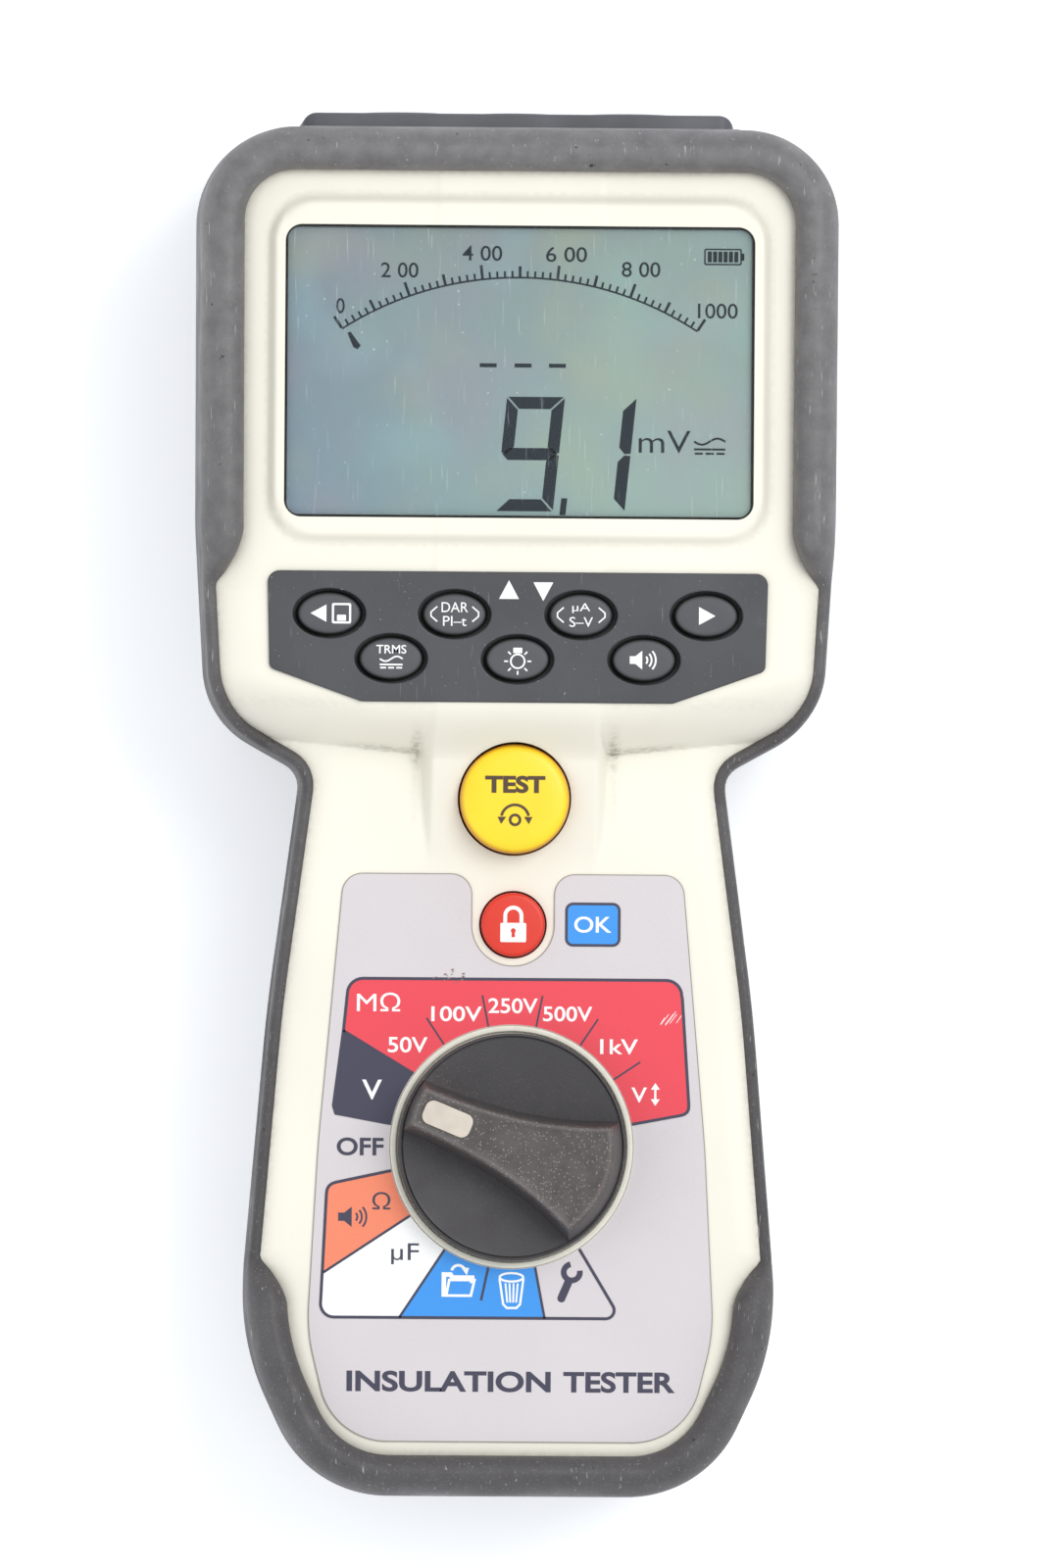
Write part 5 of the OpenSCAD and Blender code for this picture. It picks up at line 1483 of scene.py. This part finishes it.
    finish_piece(joined("label_white_legends", light), ink("label_white_ink", c["white"]))


def soften(node, width_mm):
    """Rounds the edges of a CAD node with modifiers only."""
    piece = frame["nodes"][node]
    merge = piece.modifiers.new("merge", "WELD")
    merge.merge_threshold = 1e-6
    bevel = piece.modifiers.new("soft_edges", "BEVEL")
    bevel.width, bevel.segments, bevel.limit_method = width_mm * MM, 2, "ANGLE"
    bevel.angle_limit, bevel.harden_normals = math.radians(40), False


def finish_cad_nodes():
    """Gives every CAD node the finish of its record slot, and soft edges to those that show."""
    slots = {row["node"]: row["material_slot"] for row in frame["record"]["subparts"]}
    for node, piece in frame["nodes"].items():
        for place in piece.material_slots:
            place.material = finish(slots[node])
    for node, width in (("stand", 0.5), ("battery_cover", 0.4), ("rear_feet", 0.3),
                        ("socket_negative", 0.15), ("socket_positive", 0.15), ("probe_socket", 0.15),
                        ("cover_screw", 0.1), ("case_screws", 0.1)):
        soften(node, width)


def build_stage():
    """White board, a soft key light from the upper right, a weak fill and the overhead camera."""
    board = solid("white_board", [[-9000, -9000, -0.02], [9000, -9000, -0.02], [9000, 9000, -0.02],
                                  [-9000, 9000, -0.02]],
                  [[0, 1, 2, 3]])
    board.data.materials.append(pale_ground())
    scene = bpy.context.scene
    scene.view_settings.view_transform = "Standard"
    scene.view_settings.look = "None"
    world = bpy.data.worlds.new("white_surround")
    world.use_nodes = True
    world.node_tree.nodes["Background"].inputs["Color"].default_value = (0.93, 0.96, 1.0, 1)
    world.node_tree.nodes["Background"].inputs["Strength"].default_value = 0.80
    scene.world = world
    lights = (("key_light", (0.5, 0.35, 1.1), 7.0, 0.7), ("fill_light", (-0.75, -0.35, 0.8), 2.0, 0.9))
    for name, spot, power, size in lights:
        lamp = bpy.data.lights.new(name, "AREA")
        lamp.energy, lamp.size = power, size
        holder = bpy.data.objects.new(name, lamp)
        holder.location = spot
        holder.rotation_euler = (-Vector(spot)).to_track_quat("-Z", "Y").to_euler()
        scene.collection.objects.link(holder)
    camera = bpy.data.cameras.new("overhead")
    camera.sensor_fit, camera.sensor_height, camera.lens = "VERTICAL", 36, 552
    camera.clip_start, camera.clip_end = 0.01, 20
    holder = bpy.data.objects.new("overhead", camera)
    lean, tip, roll = math.radians(2.1), math.radians(0.7), math.radians(0.40)
    aim = Vector((0.0012, 0.0033, 0.050))
    back = Vector((-math.sin(lean), -math.sin(tip), math.cos(lean))).normalized()
    right = Vector((-math.sin(roll), math.cos(roll), 0)).cross(back).normalized()
    axes = Matrix((right, back.cross(right), back)).transposed().to_4x4()
    holder.matrix_world = Matrix.Translation(aim + 4.0 * back) @ axes
    scene.collection.objects.link(holder)
    scene.camera = holder


# ---- operators and panel ----

class TESTER_OT_finish_frame(Operator):
    """Give every CAD node its finish"""
    bl_idname = "tester.finish_frame"
    bl_label = "Finish CAD nodes"

    def execute(self, context):
        finish_cad_nodes()
        return {"FINISHED"}


class TESTER_OT_front_shell(Operator):
    """Build the cream front shell"""
    bl_idname = "tester.front_shell"
    bl_label = "Front shell"

    def execute(self, context):
        build_front_shell()
        return {"FINISHED"}


class TESTER_OT_bumper(Operator):
    """Build the rubber bumper"""
    bl_idname = "tester.bumper"
    bl_label = "Bumper"

    def execute(self, context):
        build_bumper()
        return {"FINISHED"}


class TESTER_OT_rear_shell(Operator):
    """Build the rear shell"""
    bl_idname = "tester.rear_shell"
    bl_label = "Rear shell"

    def execute(self, context):
        build_rear_shell()
        return {"FINISHED"}


class TESTER_OT_terminals(Operator):
    """Build the block round the sockets"""
    bl_idname = "tester.terminals"
    bl_label = "Terminal block"

    def execute(self, context):
        build_terminal_block()
        return {"FINISHED"}


class TESTER_OT_knob(Operator):
    """Build the range knob and the ring round it"""
    bl_idname = "tester.knob"
    bl_label = "Range knob"

    def execute(self, context):
        build_knob()
        return {"FINISHED"}


class TESTER_OT_buttons(Operator):
    """Build the test and lock buttons and the spring"""
    bl_idname = "tester.buttons"
    bl_label = "Round buttons"

    def execute(self, context):
        build_buttons()
        build_spring()
        return {"FINISHED"}


class TESTER_OT_keys(Operator):
    """Build the seven oval keys and their panel"""
    bl_idname = "tester.keys"
    bl_label = "Oval keys"

    def execute(self, context):
        build_keys()
        build_key_panel()
        return {"FINISHED"}


class TESTER_OT_display(Operator):
    """Build the display's picture"""
    bl_idname = "tester.display"
    bl_label = "Display"

    def execute(self, context):
        build_display()
        return {"FINISHED"}


class TESTER_OT_label(Operator):
    """Build the printed label"""
    bl_idname = "tester.label"
    bl_label = "Label"

    def execute(self, context):
        build_label()
        return {"FINISHED"}


class TESTER_OT_stage(Operator):
    """Set up the backdrop, the lights and the camera"""
    bl_idname = "tester.stage"
    bl_label = "Stage"

    def execute(self, context):
        build_stage()
        return {"FINISHED"}


STEPS = (TESTER_OT_stage, TESTER_OT_finish_frame, TESTER_OT_front_shell, TESTER_OT_bumper,
         TESTER_OT_rear_shell, TESTER_OT_terminals, TESTER_OT_knob, TESTER_OT_buttons,
         TESTER_OT_keys, TESTER_OT_display,
         TESTER_OT_label)


class TESTER_PT_pieces(Panel):
    """Sizes, colours and steps in the sidebar"""
    bl_label = "Insulation tester"
    bl_idname = "TESTER_PT_pieces"
    bl_space_type = "VIEW_3D"
    bl_region_type = "UI"
    bl_category = "Tester"

    def draw(self, context):
        for group in (context.scene.tester_sizes, context.scene.tester_colours):
            column = self.layout.column(align=True)
            for key in type(group).__annotations__:
                column.prop(group, key)
        for step in STEPS:
            self.layout.operator(step.bl_idname)


CLASSES = (TesterSizes, TesterColours) + STEPS + (TESTER_PT_pieces,)


def register():
    for item in CLASSES:
        bpy.utils.register_class(item)
    bpy.types.Scene.tester_sizes = PointerProperty(type=TesterSizes)
    bpy.types.Scene.tester_colours = PointerProperty(type=TesterColours)


def unregister():
    del bpy.types.Scene.tester_sizes, bpy.types.Scene.tester_colours
    for item in reversed(CLASSES):
        bpy.utils.unregister_class(item)


def main():
    """Builds everything in order."""
    register()
    for step in STEPS:
        group, name = step.bl_idname.split(".")
        getattr(getattr(bpy.ops, group), name)()


if __name__ == "__main__":
    main()
